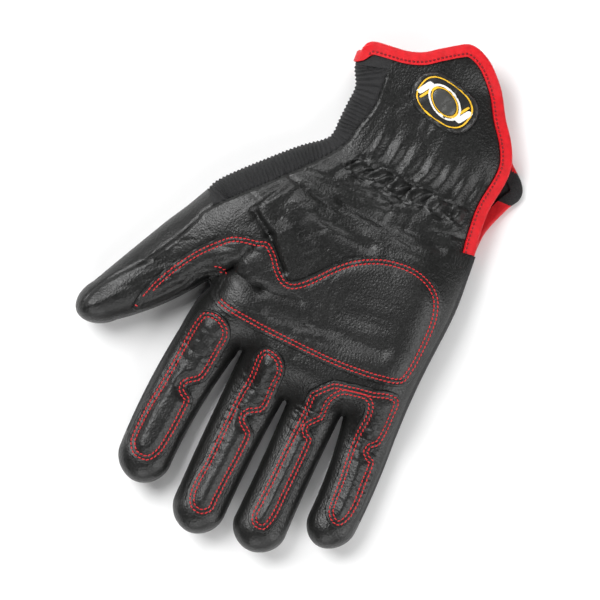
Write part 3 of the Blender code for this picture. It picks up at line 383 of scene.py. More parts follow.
def resample(points, step):
    """The same polyline with points evenly spaced, about a step apart."""
    points = np.asarray(points, float)
    run = np.concatenate([[0.0], np.cumsum(np.linalg.norm(np.diff(points, axis=0), axis=1))])
    count = max(1, int(round(run[-1] / step)))
    at = np.linspace(0.0, run[-1], count + 1)
    return np.stack([np.interp(at, run, points[:, 0]), np.interp(at, run, points[:, 1])], axis=1)


def curve_through(points, step, closed=False):
    """A smooth curve through the points, sampled about a step apart."""
    p = np.asarray(points, float)
    if closed:
        ends = np.vstack([p[-1:], p, p[:2]])
    else:
        ends = np.vstack([2 * p[0] - p[1], p, 2 * p[-1] - p[-2]])
    u = np.linspace(0.0, 1.0, 10, endpoint=False)[:, None]
    parts = []
    for a, b, c, d in zip(ends, ends[1:], ends[2:], ends[3:]):
        bend = (2 * a - 5 * b + 4 * c - d) * u**2
        parts.append(0.5 * (2 * b + (c - a) * u + bend + (3 * b - a - 3 * c + d) * u**3))
    parts.append(ends[-2][None, :])
    line = resample(np.vstack(parts), step)
    return line[:-1] if closed else line


def distance_to(points, line, closed=False):
    """Distance from each point to a polyline."""
    a = line if closed else line[:-1]
    b = np.roll(line, -1, axis=0) if closed else line[1:]
    best = np.full(len(points), np.inf)
    run = b - a
    square = np.maximum((run * run).sum(1), TINY)
    for start in range(0, len(points), CHUNK):
        x = points[start : start + CHUNK, :1] - a[:, 0]
        y = points[start : start + CHUNK, 1:2] - a[:, 1]
        share = np.clip((x * run[:, 0] + y * run[:, 1]) / square, 0.0, 1.0)
        x -= share * run[:, 0]
        y -= share * run[:, 1]
        best[start : start + CHUNK] = np.sqrt((x * x + y * y).min(axis=1))
    return best


def inside(points, polygon):
    """True for each point inside the closed polygon."""
    x1, y1 = polygon[:, 0], polygon[:, 1]
    x2, y2 = np.roll(x1, -1), np.roll(y1, -1)
    rise = np.where(y2 == y1, TINY, y2 - y1)
    slope = (x2 - x1) / rise
    within = np.zeros(len(points), bool)
    for start in range(0, len(points), CHUNK):
        x, y = points[start : start + CHUNK, :1], points[start : start + CHUNK, 1:2]
        crosses = ((y1 > y) != (y2 > y)) & (x < x1 + (y - y1) * slope)
        within[start : start + CHUNK] = crosses.sum(axis=1) % 2 == 1
    return within


def normals_of(line, closed=False):
    """Unit normals to the left of a polyline's run."""
    if closed:
        run = np.roll(line, -1, axis=0) - np.roll(line, 1, axis=0)
    else:
        run = np.gradient(line, axis=0)
    run = run / np.linalg.norm(run, axis=1)[:, None]
    return np.stack([-run[:, 1], run[:, 0]], axis=1)


class Digit:
    """A finger or the thumb: points on it are given by a share along it and a share across its half width."""

    def __init__(self, root, way, length, widths, bow, lean, end):
        self.root = np.array(root)
        self.way = np.array(way)
        self.across = np.array([-way[1], way[0]])
        self.length = length
        self.widths = widths
        self.bow = bow
        self.lean = lean
        self.end = 1.0 - end

    def half_width(self, t):
        root, middle, tip = self.widths
        t = np.clip(t, 0.0, self.end)
        m, e = 0.45, self.end
        value = root * (t - m) * (t - e) / (m * e)
        value = value + middle * t * (t - e) / (m * (m - e)) + tip * t * (t - m) / (e * (e - m))
        return 0.5 * value

    def end_share(self, t):
        past = np.clip((t - self.end) / (1.0 - self.end), 0.0, 1.0)
        return (1.0 - past**TIP_ROUNDNESS) ** (1.0 / TIP_ROUNDNESS)

    def point(self, t, a):
        t, a = np.asarray(t, float), np.asarray(a, float)
        inner = np.clip(t, 0.0, 1.0)
        bowed = self.bow * 4.0 * inner * (1.0 - inner) + self.lean * t
        side = a * self.half_width(t) * self.end_share(t) + bowed
        return self.root + self.way * (t * self.length)[..., None] + self.across * side[..., None]

    def shares(self, points):
        """Share along and share across the half width at the root, for points near the digit."""
        away = points - self.root
        return away @ self.way / self.length, away @ self.across / (0.5 * self.widths[0])

    def side(self, a, t_from, t_to):
        """Points down one side, densely."""
        return self.point(np.linspace(t_from, t_to, 24), np.full(24, a))

    def end_curve(self):
        """Points round the tip from the -across side to the +across side."""
        angle = np.linspace(0.0, math.pi, 40)
        power = 2.0 / TIP_ROUNDNESS
        across = -np.sign(np.cos(angle)) * np.abs(np.cos(angle)) ** power * self.half_width(self.end)
        t = self.end + (1.0 - self.end) * np.sin(angle) ** power
        inner = self.bow * 4.0 * t * (1.0 - t) + self.lean * t
        return self.root + self.way * (t * self.length)[:, None] + self.across * (across + inner)[:, None]


def lay_out_digits():
    """Fingers side by side from the middle and ring crotch outwards, and the thumb from the notch."""
    rows = [dict(zip(FINGER_COLUMNS, row)) for row in FINGERS]
    centre = {}
    centre["middle"] = MIDDLE_CROTCH_X - CROTCH_GAP / 2 - rows[1]["root"] / 2
    centre["index"] = centre["middle"] - rows[1]["root"] / 2 - CROTCH_GAP - rows[0]["root"] / 2
    centre["ring"] = MIDDLE_CROTCH_X + CROTCH_GAP / 2 + rows[2]["root"] / 2
    centre["little"] = centre["ring"] + rows[2]["root"] / 2 + CROTCH_GAP + rows[3]["root"] / 2
    digits = {}
    for row in rows:
        root = (centre[row["name"]], -row["drop"])
        widths = (row["root"], row["middle"], row["tip"])
        length = row["length"]
        digits[row["name"]] = Digit(root, (0.0, -1.0), length, widths, row["bow"], row["lean"], row["end"])
    index_side = digits["index"].point(0.0, -1.0)
    notch = index_side + np.array([NOTCH_IN, NOTCH_RISE])
    angle = math.radians(THUMB_LEAN)
    way = np.array([-math.sin(angle), -math.cos(angle)])
    across = np.array([-way[1], way[0]])
    root = notch - np.array([NOTCH_GAP / 2, 0.0]) - across * (THUMB_ROOT / 2 - THUMB_SINK)
    widths = (THUMB_ROOT, THUMB_MIDDLE, THUMB_TIP)
    digits["thumb"] = Digit(root, way, THUMB_LENGTH, widths, THUMB_BOW, THUMB_TIP_SHIFT, THUMB_END)
    return digits, notch


DIGITS, NOTCH = lay_out_digits()
THUMB = DIGITS["thumb"]
FINGER_NAMES = [row[0] for row in FINGERS]
SLIT_Y = PALM_LENGTH - SLIT_LENGTH
WIDTHS = {"cuff": (0.0, CUFF_WIDTH), "wrist": (WRIST_SHIFT, WRIST_WIDTH)}
SLIT_POINT = np.array([NOTCH[0] + SLIT_SIDE * PALM_WIDTH, SLIT_Y])


def thumb_side_rows():
    points = []
    for along, name, share in THUMB_SIDE_ROWS:
        middle, width = WIDTHS[name]
        points.append((middle + share * width, along * PALM_LENGTH))
    return points


def tip_back_share(digit):
    return digit.end - 0.10


def side_outline():
    """The side outline from the cuff's thumb corner round the digits to the slit, in tagged stretches."""
    web = [tuple(THUMB.point(t, a)) for t, a in WEB_ROWS]
    start = [tuple(THUMB.point(t, -1.0)) for t in (0.0, 0.14)]
    upper = curve_through(thumb_side_rows() + web + start, FINE_STEP)
    cross = THUMB.point(CROSS_BAND_AT, -1.19)
    cross_at = int(np.argmin(np.linalg.norm(upper - cross, axis=1)))
    run = np.concatenate([[0.0], np.cumsum(np.linalg.norm(np.diff(upper, axis=0), axis=1))])
    band_at = int(np.argmin(np.abs(run - TAPE_WIDTH)))
    stretches = [
        ("cuff_band", resample(upper[: band_at + 1], BAND_STEP)),
        ("knit_side", resample(upper[band_at : cross_at + 1], KNIT_STEP)),
    ]
    outer = np.vstack([upper[cross_at:], THUMB.side(-1.0, 0.16, THUMB.end)])
    tip = THUMB.end_curve()
    seam_at = int(0.36 * len(tip))
    stretches.append(("thumb_outer", resample(np.vstack([outer, tip[1 : seam_at + 1]]), SIDE_STEP * 0.9)))
    stretches.append(("thumb_tip", resample(tip[seam_at:], TIP_STEP)))
    notch_side = THUMB.point(0.02, 1.0)
    stretches.append(("thumb_inner", resample(THUMB.side(1.0, THUMB.end, 0.02), SIDE_STEP)))
    index = DIGITS["index"]
    down = np.array([notch_side + (NOTCH_GAP, 0.0), index.point(-0.22, -0.93), index.point(-0.1, -0.985)])
    turn = np.array([notch_side, notch_side + (0.35 * NOTCH_GAP, 0.6 * NOTCH_GAP), down[0]])
    stretches.append(("notch", curve_through(turn, NOTCH_GAP * 0.7)))
    for number, name in enumerate(FINGER_NAMES):
        digit = DIGITS[name]
        line = tip_back_share(digit)
        if number == 0:
            left = curve_through(np.vstack([down, index.point(0.0, -1.0)[None]]), PALM_SIDE_STEP)
            left = np.vstack([left, digit.side(-1.0, 0.02, line)])
            stretches.append((name + "_outer", resample(left, SIDE_STEP)))
        else:
            top = (digit.root[1] - CROTCHES[number - 1][1]) / digit.length
            stretches.append((name + "_left", resample(digit.side(-1.0, top, line), SIDE_STEP)))
        near, far = digit.side(-1.0, line, digit.end), digit.side(1.0, digit.end, line)
        tip = np.vstack([near[:-1], digit.end_curve(), far[1:]])
        stretches.append((name + "_tip", resample(tip, TIP_STEP)))
        if number < 3:
            top = (digit.root[1] - CROTCHES[number][1]) / digit.length
            right = digit.side(1.0, line, top)
            stretches.append((name + "_right", resample(right, SIDE_STEP)))
            other = DIGITS[FINGER_NAMES[number + 1]]
            far = other.point((other.root[1] - CROTCHES[number][1]) / other.length, -1.0)
            near = right[-1]
            middle, half = 0.5 * (near + far), 0.5 * (far - near)
            rise = np.array([0.0, np.linalg.norm(half)])
            arc = [middle - half * math.cos(u) + rise * math.sin(u) for u in np.linspace(0.0, math.pi, 4)]
            stretches.append(("crotch", np.array(arc)))
    little = DIGITS["little"]
    palm = [tuple(little.point(0.0, 1.0))]
    palm += [(NOTCH[0] + share * PALM_WIDTH, along * PALM_LENGTH) for along, share in PALM_SIDE_ROWS]
    palm.append(tuple(SLIT_POINT))
    right = np.vstack([little.side(1.0, tip_back_share(little), 0.06), curve_through(palm, PALM_SIDE_STEP)])
    stretches.append(("little_outer", resample(right, SIDE_STEP)))
    return stretches


def joined(stretches):
    points, tags, starts = [], [], {}
    for tag, line in stretches:
        starts.setdefault(tag, len(points))
        points += list(line[:-1])
        tags += [tag] * (len(line) - 1)
    points.append(stretches[-1][1][-1])
    return np.array(points), tags, starts


SIDE, SIDE_TAGS, SIDE_STARTS = joined(side_outline())
SIDE_IN = normals_of(SIDE)


def mouth_row(share, rise):
    return (share * CUFF_WIDTH, PALM_LENGTH + rise * CUFF_RISE)


def slit_row(share, across):
    return (WRIST_SHIFT + across * WRIST_WIDTH, SLIT_Y + share * SLIT_LENGTH)


FRONT_EDGE_ROWS = [slit_row(*row) for row in FRONT_SLIT_ROWS] + [mouth_row(*row) for row in FRONT_MOUTH_ROWS]
BACK_EDGE_ROWS = [slit_row(*row) for row in BACK_SLIT_ROWS] + [mouth_row(*row) for row in BACK_MOUTH_ROWS]


def hand_frame():
    """Left and right limits of the hand against y, for features given in hand shares."""
    index, little = DIGITS["index"], DIGITS["little"]
    left = [(0.0, index.point(0.0, -1.0)[0]), (NOTCH[1], NOTCH[0])]
    left.append((0.52 * PALM_LENGTH, THUMB.point(*WEB_ROWS[0])[0]))
    left += [(y, x) for x, y in reversed(thumb_side_rows())]
    right = [(0.0, little.point(0.0, 1.0)[0])]
    right += [(along * PALM_LENGTH, NOTCH[0] + share * PALM_WIDTH) for along, share in PALM_SIDE_ROWS]
    right += [(SLIT_Y, SLIT_POINT[0])]
    right += [(y, x) for x, y in (slit_row(*row) for row in FRONT_SLIT_ROWS)]
    return np.array(left), np.array(right)


HAND_LEFT, HAND_RIGHT = hand_frame()


def hand_point(along, across):
    """A point of the palm or wrist from its share of PALM_LENGTH and its share between the two sides."""
    y = along * PALM_LENGTH
    left = np.interp(y, HAND_LEFT[:, 0], HAND_LEFT[:, 1])
    right = np.interp(y, HAND_RIGHT[:, 0], HAND_RIGHT[:, 1])
    return np.array([left + across * (right - left), y])


def hand_across(points):
    left = np.interp(points[:, 1], HAND_LEFT[:, 0], HAND_LEFT[:, 1])
    right = np.interp(points[:, 1], HAND_RIGHT[:, 0], HAND_RIGHT[:, 1])
    return (points[:, 0] - left) / (right - left)


def blends(points):
    """How far each point belongs to the fingers, to the thumb and to the cuff."""
    roots = np.array([DIGITS[name].root for name in FINGER_NAMES])
    line = np.interp(points[:, 0], roots[:, 0], roots[:, 1])
    finger = ease((line + 0.14 * PALM_LENGTH - points[:, 1]) / (0.2 * PALM_LENGTH))
    along, across = THUMB.shares(points)
    thumb = ease((along + 0.45) / 0.7) * ease((1.75 - across) / 0.7)
    cuff = ease((points[:, 1] / PALM_LENGTH - 0.45) / 0.35)
    return finger, thumb, cuff


def fields(points):
    """Thickness, edge rounding and lift of the form at each point."""
    finger, thumb, cuff = blends(points)
    y = points[:, 1] / PALM_LENGTH
    wrist = WRIST_DEPTH + (CUFF_DEPTH - WRIST_DEPTH) * ease((y - 0.78) / 0.2)
    depth = PALM_DEPTH + (wrist - PALM_DEPTH) * cuff
    depth = depth + (FINGER_DEPTH - depth) * finger
    depth = depth + (THUMB_DEPTH - depth) * thumb
    edge = PALM_ROUND + (CUFF_ROUND - PALM_ROUND) * cuff
    edge = edge + (FINGER_ROUND - edge) * finger
    edge = edge + (THUMB_ROUND - edge) * thumb
    longest = DIGITS["middle"].length
    lift = FINGER_CURL * np.clip(-points[:, 1] / longest, 0.0, 1.2) ** 2
    along, _ = THUMB.shares(points)
    lift = np.maximum(lift * (1.0 - thumb), 0.6 * FINGER_CURL * thumb * np.clip(along, 0.0, 1.0) ** 2)
    lift = lift + (GAP + TAPE) * ease(2.0 - distance_to(points, BACK_EDGE) / (2.0 * TAPE_WIDTH))
    return depth, edge, lift


SLIT_EDGE = curve_through([tuple(SLIT_POINT)] + FRONT_EDGE_ROWS[:7], EDGE_CURVE_STEP)
BACK_EDGE = curve_through([tuple(SLIT_POINT)] + BACK_EDGE_ROWS + [tuple(SIDE[0])], EDGE_CURVE_STEP)


def relief(points):
    """Mounds, creases and gathers of the front."""
    along = points[:, 1] / PALM_LENGTH
    across = hand_across(points)
    height = np.zeros(len(points))
    for _, at, over, half_along, half_across, rise in MOUNDS:
        height += rise * np.exp(-(((along - at) / half_along) ** 2) - ((across - over) / half_across) ** 2)
    for _, at, over, to, end, half, depth in CREASES:
        line = np.array([hand_point(at, over), hand_point(to, end)])
        height -= depth * np.exp(-((distance_to(points, line) / half) ** 2))
    share = (across - GATHER_FROM) / (GATHER_TO - GATHER_FROM)
    window = ease(share / 0.08) * ease((1.0 - share) / 0.08)
    for number, (start, end, rise, half) in enumerate(GATHER_ROWS):
        near = np.exp(-(((along - start - (end - start) * share) * PALM_LENGTH / half) ** 2))
        wave = np.cos(2.0 * math.pi * (GATHER_PUFFS * share + 0.5 * number))
        height += rise * near * window * wave
    return height


def shell(points, from_side, top):
    """Heights of the form's outer surface, from each point's distance to the side outline."""
    depth, edge, lift = fields(points)
    inner = np.clip(1.0 - from_side / edge, 0.0, 1.0)
    share = np.sqrt(1.0 - inner * inner)
    rim = RIM_SHARE * depth
    if not top:
        return lift + rim * (1.0 - share)
    near = np.clip(distance_to(points, SLIT_EDGE) / (0.4 * WRIST_WIDTH), 0.0, 1.0)
    droop = 0.25 + 0.75 * np.sin(0.5 * math.pi * near)
    small = relief(points) + fine_relief(points, from_side)
    return lift + rim + (depth - rim) * share * droop + small * share**2


def inset(turn):
    """The side outline moved inwards to where the rounded edge has turned so far, and how far that is."""
    _, edge, _ = fields(SIDE)
    away = edge * (1.0 - math.cos(math.radians(turn)))
    return SIDE + SIDE_IN * away[:, None], away


class Form:
    """All outer surface points and triangles, with the name of the region that each triangle belongs to."""

    def __init__(self):
        self.points = []
        self.faces = []
        self.regions = []

    def add_points(self, points):
        start = sum(len(p) for p in self.points)
        self.points.append(np.asarray(points, float))
        return np.arange(start, start + len(points))

    def add_faces(self, faces, regions):
        start = len(self.regions)
        self.faces.append(np.asarray(faces, int))
        self.regions += list(regions)
        return slice(start, len(self.regions))

    def finish(self):
        self.points = np.vstack(self.points)
        self.faces = np.vstack(self.faces)
        self.regions = np.array(self.regions)
        corners = self.points[self.faces]
        flat = np.cross(corners[:, 1] - corners[:, 0], corners[:, 2] - corners[:, 0])
        flat /= np.linalg.norm(flat, axis=1)[:, None]
        self.normals = np.zeros_like(self.points)
        for k in range(3):
            one = corners[:, (k + 1) % 3] - corners[:, k]
            two = corners[:, (k + 2) % 3] - corners[:, k]
            cosine = (one * two).sum(1) / (np.linalg.norm(one, axis=1) * np.linalg.norm(two, axis=1))
            angle = np.arccos(np.clip(cosine, -1.0, 1.0))
            np.add.at(self.normals, self.faces[:, k], flat * angle[:, None])
        self.normals /= np.maximum(np.linalg.norm(self.normals, axis=1), TINY)[:, None]


def hex_grid(low, high, step):
    rows = []
    y = low[1]
    odd = False
    while y < high[1]:
        x = np.arange(low[0] + (0.5 * step if odd else 0.0), high[0], step)
        rows.append(np.stack([x, np.full(len(x), y)], axis=1))
        y += step * math.sqrt(0.75)
        odd = not odd
    return np.vstack(rows)


def triangulate(boundary, lines, loops, free, step):
    """Triangles inside the boundary that keep the given lines and loops as edges.

    Returns the points, the triangles, and for each boundary point its place among the points.
    """
    points, edges = [], []

    def add(line, closed):
        start = len(points)
        points.extend(Vector(p) for p in line)
        count = len(line)
        for i in range(count if closed else count - 1):
            edges.append((start + i, start + (i + 1) % count))

    add(boundary, True)
    for line in lines:
        add(line, False)
    for loop in loops:
        add(loop, True)
    away = distance_to(free, boundary, closed=True)
    keep = inside(free, boundary) & (away > 0.35 * step)
    free = free[keep]
    for line in lines:
        free = free[distance_to(free, line) > 0.32 * step]
    for loop in loops:
        free = free[distance_to(free, loop, closed=True) > 0.32 * step]
    points.extend(Vector(p) for p in free)
    verts, _, faces, origins, _, _ = delaunay_2d_cdt(points, edges, [], 0, WELD)
    place = {}
    for out, sources in enumerate(origins):
        for source in sources:
            place[source] = out
    verts = np.array([tuple(v) for v in verts])
    faces = np.array([tuple(f) for f in faces])
    middle = verts[faces].mean(axis=1)
    faces = faces[inside(middle, boundary)]
    a, b, c = (verts[faces[:, k]] for k in range(3))
    turned = (b - a)[:, 0] * (c - a)[:, 1] - (b - a)[:, 1] * (c - a)[:, 0] < 0
    faces[turned] = faces[turned][:, ::-1]
    return verts, faces, [place[i] for i in range(len(boundary))]


def oval(middle, length, height, turn, count, squareness=2.6):
    """A badge outline with soft corners."""
    angle = np.arange(count) * 2.0 * math.pi / count
    c, s = np.cos(angle), np.sin(angle)
    x = 0.5 * length * np.sign(c) * np.abs(c) ** (2.0 / squareness)
    y = 0.5 * height * np.sign(s) * np.abs(s) ** (2.0 / squareness)
    a = math.radians(turn)
    return middle + np.stack([x * math.cos(a) - y * math.sin(a), x * math.sin(a) + y * math.cos(a)], axis=1)


def patch_loops():
    """Outlines of the overlays and the badge, as closed loops on the plan."""
    palm = [THUMB.point(t, a) for t, a in PALM_PATCH_THUMB]
    palm += [hand_point(along, across) for along, across in PALM_PATCH_HAND]
    index = [DIGITS["index"].point(t, a) for t, a in INDEX_PATCH]
    middle = [DIGITS["middle"].point(t, a) for t, a in MIDDLE_PATCH]
    ring = [DIGITS["ring"].point(t, a) for t, a in RING_PART]
    little = [DIGITS["little"].point(t, a) for t, a in LITTLE_PART]
    back = [DIGITS["ring"].point(t, a) for t, a in RING_RETURN]
    centre = np.array([BADGE_ACROSS * CUFF_WIDTH, BADGE_ALONG * PALM_LENGTH])
    loops = {
        "palm_patch": curve_through(palm, OUTLINE_STEP * 1.2, closed=True),
        "index_patch": curve_through(index, OUTLINE_STEP, closed=True),
        "middle_patch": curve_through(middle, OUTLINE_STEP, closed=True),
        "ring_little_patch": curve_through(ring + little + back, OUTLINE_STEP, closed=True),
        "badge_plate": oval(centre, BADGE_LENGTH, BADGE_HEIGHT, BADGE_TURN, 24),
        "badge_rim": oval(centre, 0.82 * BADGE_LENGTH, 0.78 * BADGE_HEIGHT, BADGE_TURN, 20),
        "badge_emblem": oval(centre, 0.56 * BADGE_LENGTH, 0.50 * BADGE_HEIGHT, BADGE_TURN, 16),
    }
    return loops


def edge_line(rows, start, end):
    """An open edge of the front or back from the slit's bottom to the cuff's thumb corner."""
    return curve_through([tuple(start)] + rows + [tuple(end)], EDGE_STEP)


def offset_inwards(line, amount):
    """The line moved to its left, without the folds that tight bends would make."""
    moved = line + normals_of(line) * amount
    keep = distance_to(moved, line) > 0.93 * amount
    keep[0] = keep[-1] = True
    return moved[keep]


def face_heights(verts, top):
    away = distance_to(verts, SIDE)
    return np.column_stack([verts, shell(verts, away, top)])


def build_form():
    form = Form()
    rows = []
    for turn in RIM_TURNS:
        line, away = inset(turn)
        rows.append(form.add_points(np.column_stack([line, shell(line, away, turn > 0.0)])))
    faces, regions, band = [], [], []
    for low, high in zip(rows, rows[1:]):
        for i in range(len(SIDE) - 1):
            faces += [(low[i], high[i + 1], high[i]), (low[i], low[i + 1], high[i + 1])]
            regions += [rim_region(i)] * 2
            band += [SIDE_TAGS[i] == "cuff_band"] * 2
    form.rim = form.add_faces(faces, regions)
    form.bands = [(form.rim, np.array(band))]
    add_top(form, inset(RIM_TURNS[-1])[0], rows[-1])
    add_bottom(form, inset(RIM_TURNS[0])[0], rows[0])
    form.finish()
    form.corner = [row[0] for row in rows[1:-1]]
    return form


def rim_region(i):
    tag = SIDE_TAGS[i]
    if tag in ("thumb_outer", "thumb_tip", "thumb_inner"):
        return "thumb_back"
    if tag.endswith("_tip"):
        return tag + "_back"
    names = {"index_right": "fourchette_index_middle", "middle_left": "fourchette_index_middle"}
    names.update({"middle_right": "fourchette_middle_ring", "ring_left": "fourchette_middle_ring"})
    names.update({"ring_right": "fourchette_ring_little", "little_left": "fourchette_ring_little"})
    if tag == "crotch":
        before = max(k for k in range(i) if SIDE_TAGS[k] != "crotch")
        return names[SIDE_TAGS[before]]
    return names.get(tag, "back_panel")


def band_line(edge, ring):
    """The inner edge of the binding, from the slit's bottom to the side outline."""
    band = offset_inwards(edge, TAPE_WIDTH)
    return np.vstack([band[:-1], ring[SIDE_STARTS["knit_side"]]])


def band_polygon(edge, ring, band):
    return np.vstack([edge, ring[1 : SIDE_STARTS["knit_side"] + 1], band[::-1][1:]])


def clear_of(points, others, reach):
    return points[distance_to_points(points, others) > reach]


def face_rows(ring):
    """Rows of points that follow the rounded edge within the front or the back."""
    rows = np.vstack([inset(turn)[0] for turn in FACE_TURNS])
    return rows[inside(rows, ring_polygon(ring))]


def top_points(boundary, ring):
    detail = fine_points(ring)
    rows = face_rows(ring)
    grid = hex_grid(boundary.min(axis=0), boundary.max(axis=0), TOP_STEP)
    grid = clear_of(clear_of(grid, detail, 0.45 * TOP_STEP), rows, 0.5 * TOP_STEP)
    return np.vstack([detail, rows, grid])


def seam_on(ring, mouth):
    """The seam from the thumb's tip to the mouth, its place on the mouth, and the cross band's place."""
    thumb = [THUMB.point(t, a) for t, a in THUMB_SEAM]
    knit = [hand_point(along, across) for along, across in KNIT_SEAM]
    half = len(mouth) // 2
    mouth_at = int(np.argmin(np.abs(mouth[half:, 0] - knit[-1][0]))) + half
    start = ring[SIDE_STARTS["thumb_tip"]]
    seam = curve_through([tuple(start)] + thumb + knit + [tuple(mouth[mouth_at])], SIDE_STEP * 0.8)
    joint = int(np.argmin(np.linalg.norm(seam - thumb[-1], axis=1)))
    return seam, mouth_at, joint


def add_top(form, ring, ring_index):
    edge = edge_line(FRONT_EDGE_ROWS, ring[-1], ring[0])
    boundary = np.vstack([ring, edge[1:-1]])
    mouth = edge[1:-1]
    seam, mouth_at, joint = seam_on(ring, mouth)
    tip_at, cross_at = SIDE_STARTS["thumb_tip"], SIDE_STARTS["thumb_outer"]
    cross = resample(np.array([ring[cross_at], seam[joint]]), CROSS_STEP)
    band = band_line(edge, ring)
    band_start = np.array([ring[-1], band[0]])
    form.loops = patch_loops()
    lines = [seam, cross, band, band_start]
    free = top_points(boundary, ring)
    verts, faces, place = triangulate(boundary, lines, list(form.loops.values()), free, 0.45 * TOP_STEP)
    index = place_points(form, ring_index, place, face_heights(verts, True))
    middle = verts[faces].mean(axis=1)
    regions = np.full(len(faces), "palm_panel", dtype=object)
    strip = np.vstack([ring[: tip_at + 1], seam[1:], mouth[mouth_at + 1 :]])
    below = np.vstack([ring[cross_at : tip_at + 1], seam[1 : joint + 1]])
    in_strip = inside(middle, strip)
    regions[in_strip] = "back_panel"
    regions[in_strip & inside(middle, below)] = "thumb_back"
    form.top = form.add_faces(index[faces], regions)
    form.top_plan = middle
    form.front_edge = index[[place[len(ring) - 1]] + place[len(ring) :] + [place[0]]]
    form.bands.append((form.top, inside(middle, band_polygon(edge, ring, band))))


def place_points(form, ring_index, place, heights):
    """Adds the face's points to the form, apart from those that the rim has, and numbers them all."""
    shared = set(place[: len(ring_index)])
    new = [i for i in range(len(heights)) if i not in shared]
    index = np.full(len(heights), -1)
    index[place[: len(ring_index)]] = ring_index
    index[new] = form.add_points(heights[new])
    return index


def add_bottom(form, ring, ring_index):
    edge = edge_line(BACK_EDGE_ROWS, ring[-1], ring[0])
    boundary = np.vstack([ring, edge[1:-1]])
    lines = []
    polygons = {}
    for name in FINGER_NAMES:
        start = SIDE_STARTS[name + "_tip"]
        end = start + SIDE_TAGS.count(name + "_tip")
        lines.append(resample(np.array([ring[start], ring[end]]), SIDE_STEP * 0.8))
        polygons[name + "_tip_back"] = ring[start : end + 1]
    start, end = SIDE_STARTS["thumb_outer"], SIDE_STARTS["notch"]
    lines.append(resample(np.array([ring[start], ring[end]]), SIDE_STEP))
    polygons["thumb_back"] = ring[start : end + 1]
    band = band_line(edge, ring)
    lines += [band, np.array([ring[-1], band[0]])]
    rows = face_rows(ring)
    grid = hex_grid(boundary.min(axis=0), boundary.max(axis=0), BACK_STEP)
    free = np.vstack([rows, clear_of(grid, rows, 0.4 * BACK_STEP)])
    verts, faces, place = triangulate(boundary, lines, [], free, 0.45 * TOP_STEP)
    index = place_points(form, ring_index, place, face_heights(verts, False))
    middle = verts[faces].mean(axis=1)
    regions = np.full(len(faces), "back_panel", dtype=object)
    for name, polygon in polygons.items():
        regions[inside(middle, polygon)] = name
    form.bottom = form.add_faces(index[faces][:, ::-1], regions)
    form.back_edge = index[[place[len(ring) - 1]] + place[len(ring) :] + [place[0]]]
    form.bands.append((form.bottom, inside(middle, band_polygon(edge, ring, band))))


def ring_polygon(ring):
    return np.vstack([ring, [[ring[-1, 0], PALM_LENGTH], [ring[0, 0], PALM_LENGTH]]])


def distance_to_points(points, others):
    best = np.full(len(points), np.inf)
    for start in range(0, len(points), CHUNK):
        away = points[start : start + CHUNK, None, :] - others[None, :, :]
        best[start : start + CHUNK] = np.sqrt((away * away).sum(2).min(axis=1))
    return best


def boundary_of(faces):
    """Directed edges that only one triangle of the set has."""
    edges = np.concatenate([faces[:, [0, 1]], faces[:, [1, 2]], faces[:, [2, 0]]])
    most = faces.max() + 1
    return edges[~np.isin(edges[:, 0] * most + edges[:, 1], edges[:, 1] * most + edges[:, 0])]


def shrunk(points, normals, faces, amount):
    """The points with the set's own border moved inwards within the surface."""
    moved = points.copy()
    border = boundary_of(faces)
    pushes = {}
    for a, b in border:
        run = points[b] - points[a]
        inwards = np.cross(normals[a] + normals[b], run)
        inwards /= np.linalg.norm(inwards)
        pushes.setdefault(a, []).append(inwards)
        pushes.setdefault(b, []).append(inwards)
    for vertex, ways in pushes.items():
        total = np.sum(ways[:2], axis=0)
        moved[vertex] += amount * total / max(0.5, 1.0 + float(np.dot(ways[0], ways[-1])))
    return moved, border


def skin(points, normals, faces, outer, inner):
    """A closed wall between two offsets of the triangles along the form's normals."""
    used = np.unique(faces)
    local = np.full(len(points), -1)
    local[used] = np.arange(len(used))
    count = len(used)
    outer = outer[used] if np.ndim(outer) else np.full(count, outer)
    inner = inner[used] if np.ndim(inner) else np.full(count, inner)
    high = points[used] + normals[used] * outer[:, None]
    low = points[used] + normals[used] * inner[:, None]
    near = local[faces]
    sides = []
    for a, b in boundary_of(faces):
        i, j = local[a], local[b]
        sides += [(i, i + count, j + count), (i, j + count, j)]
    return np.vstack([high, low]), np.vstack([near, near[:, ::-1] + count, np.array(sides)])


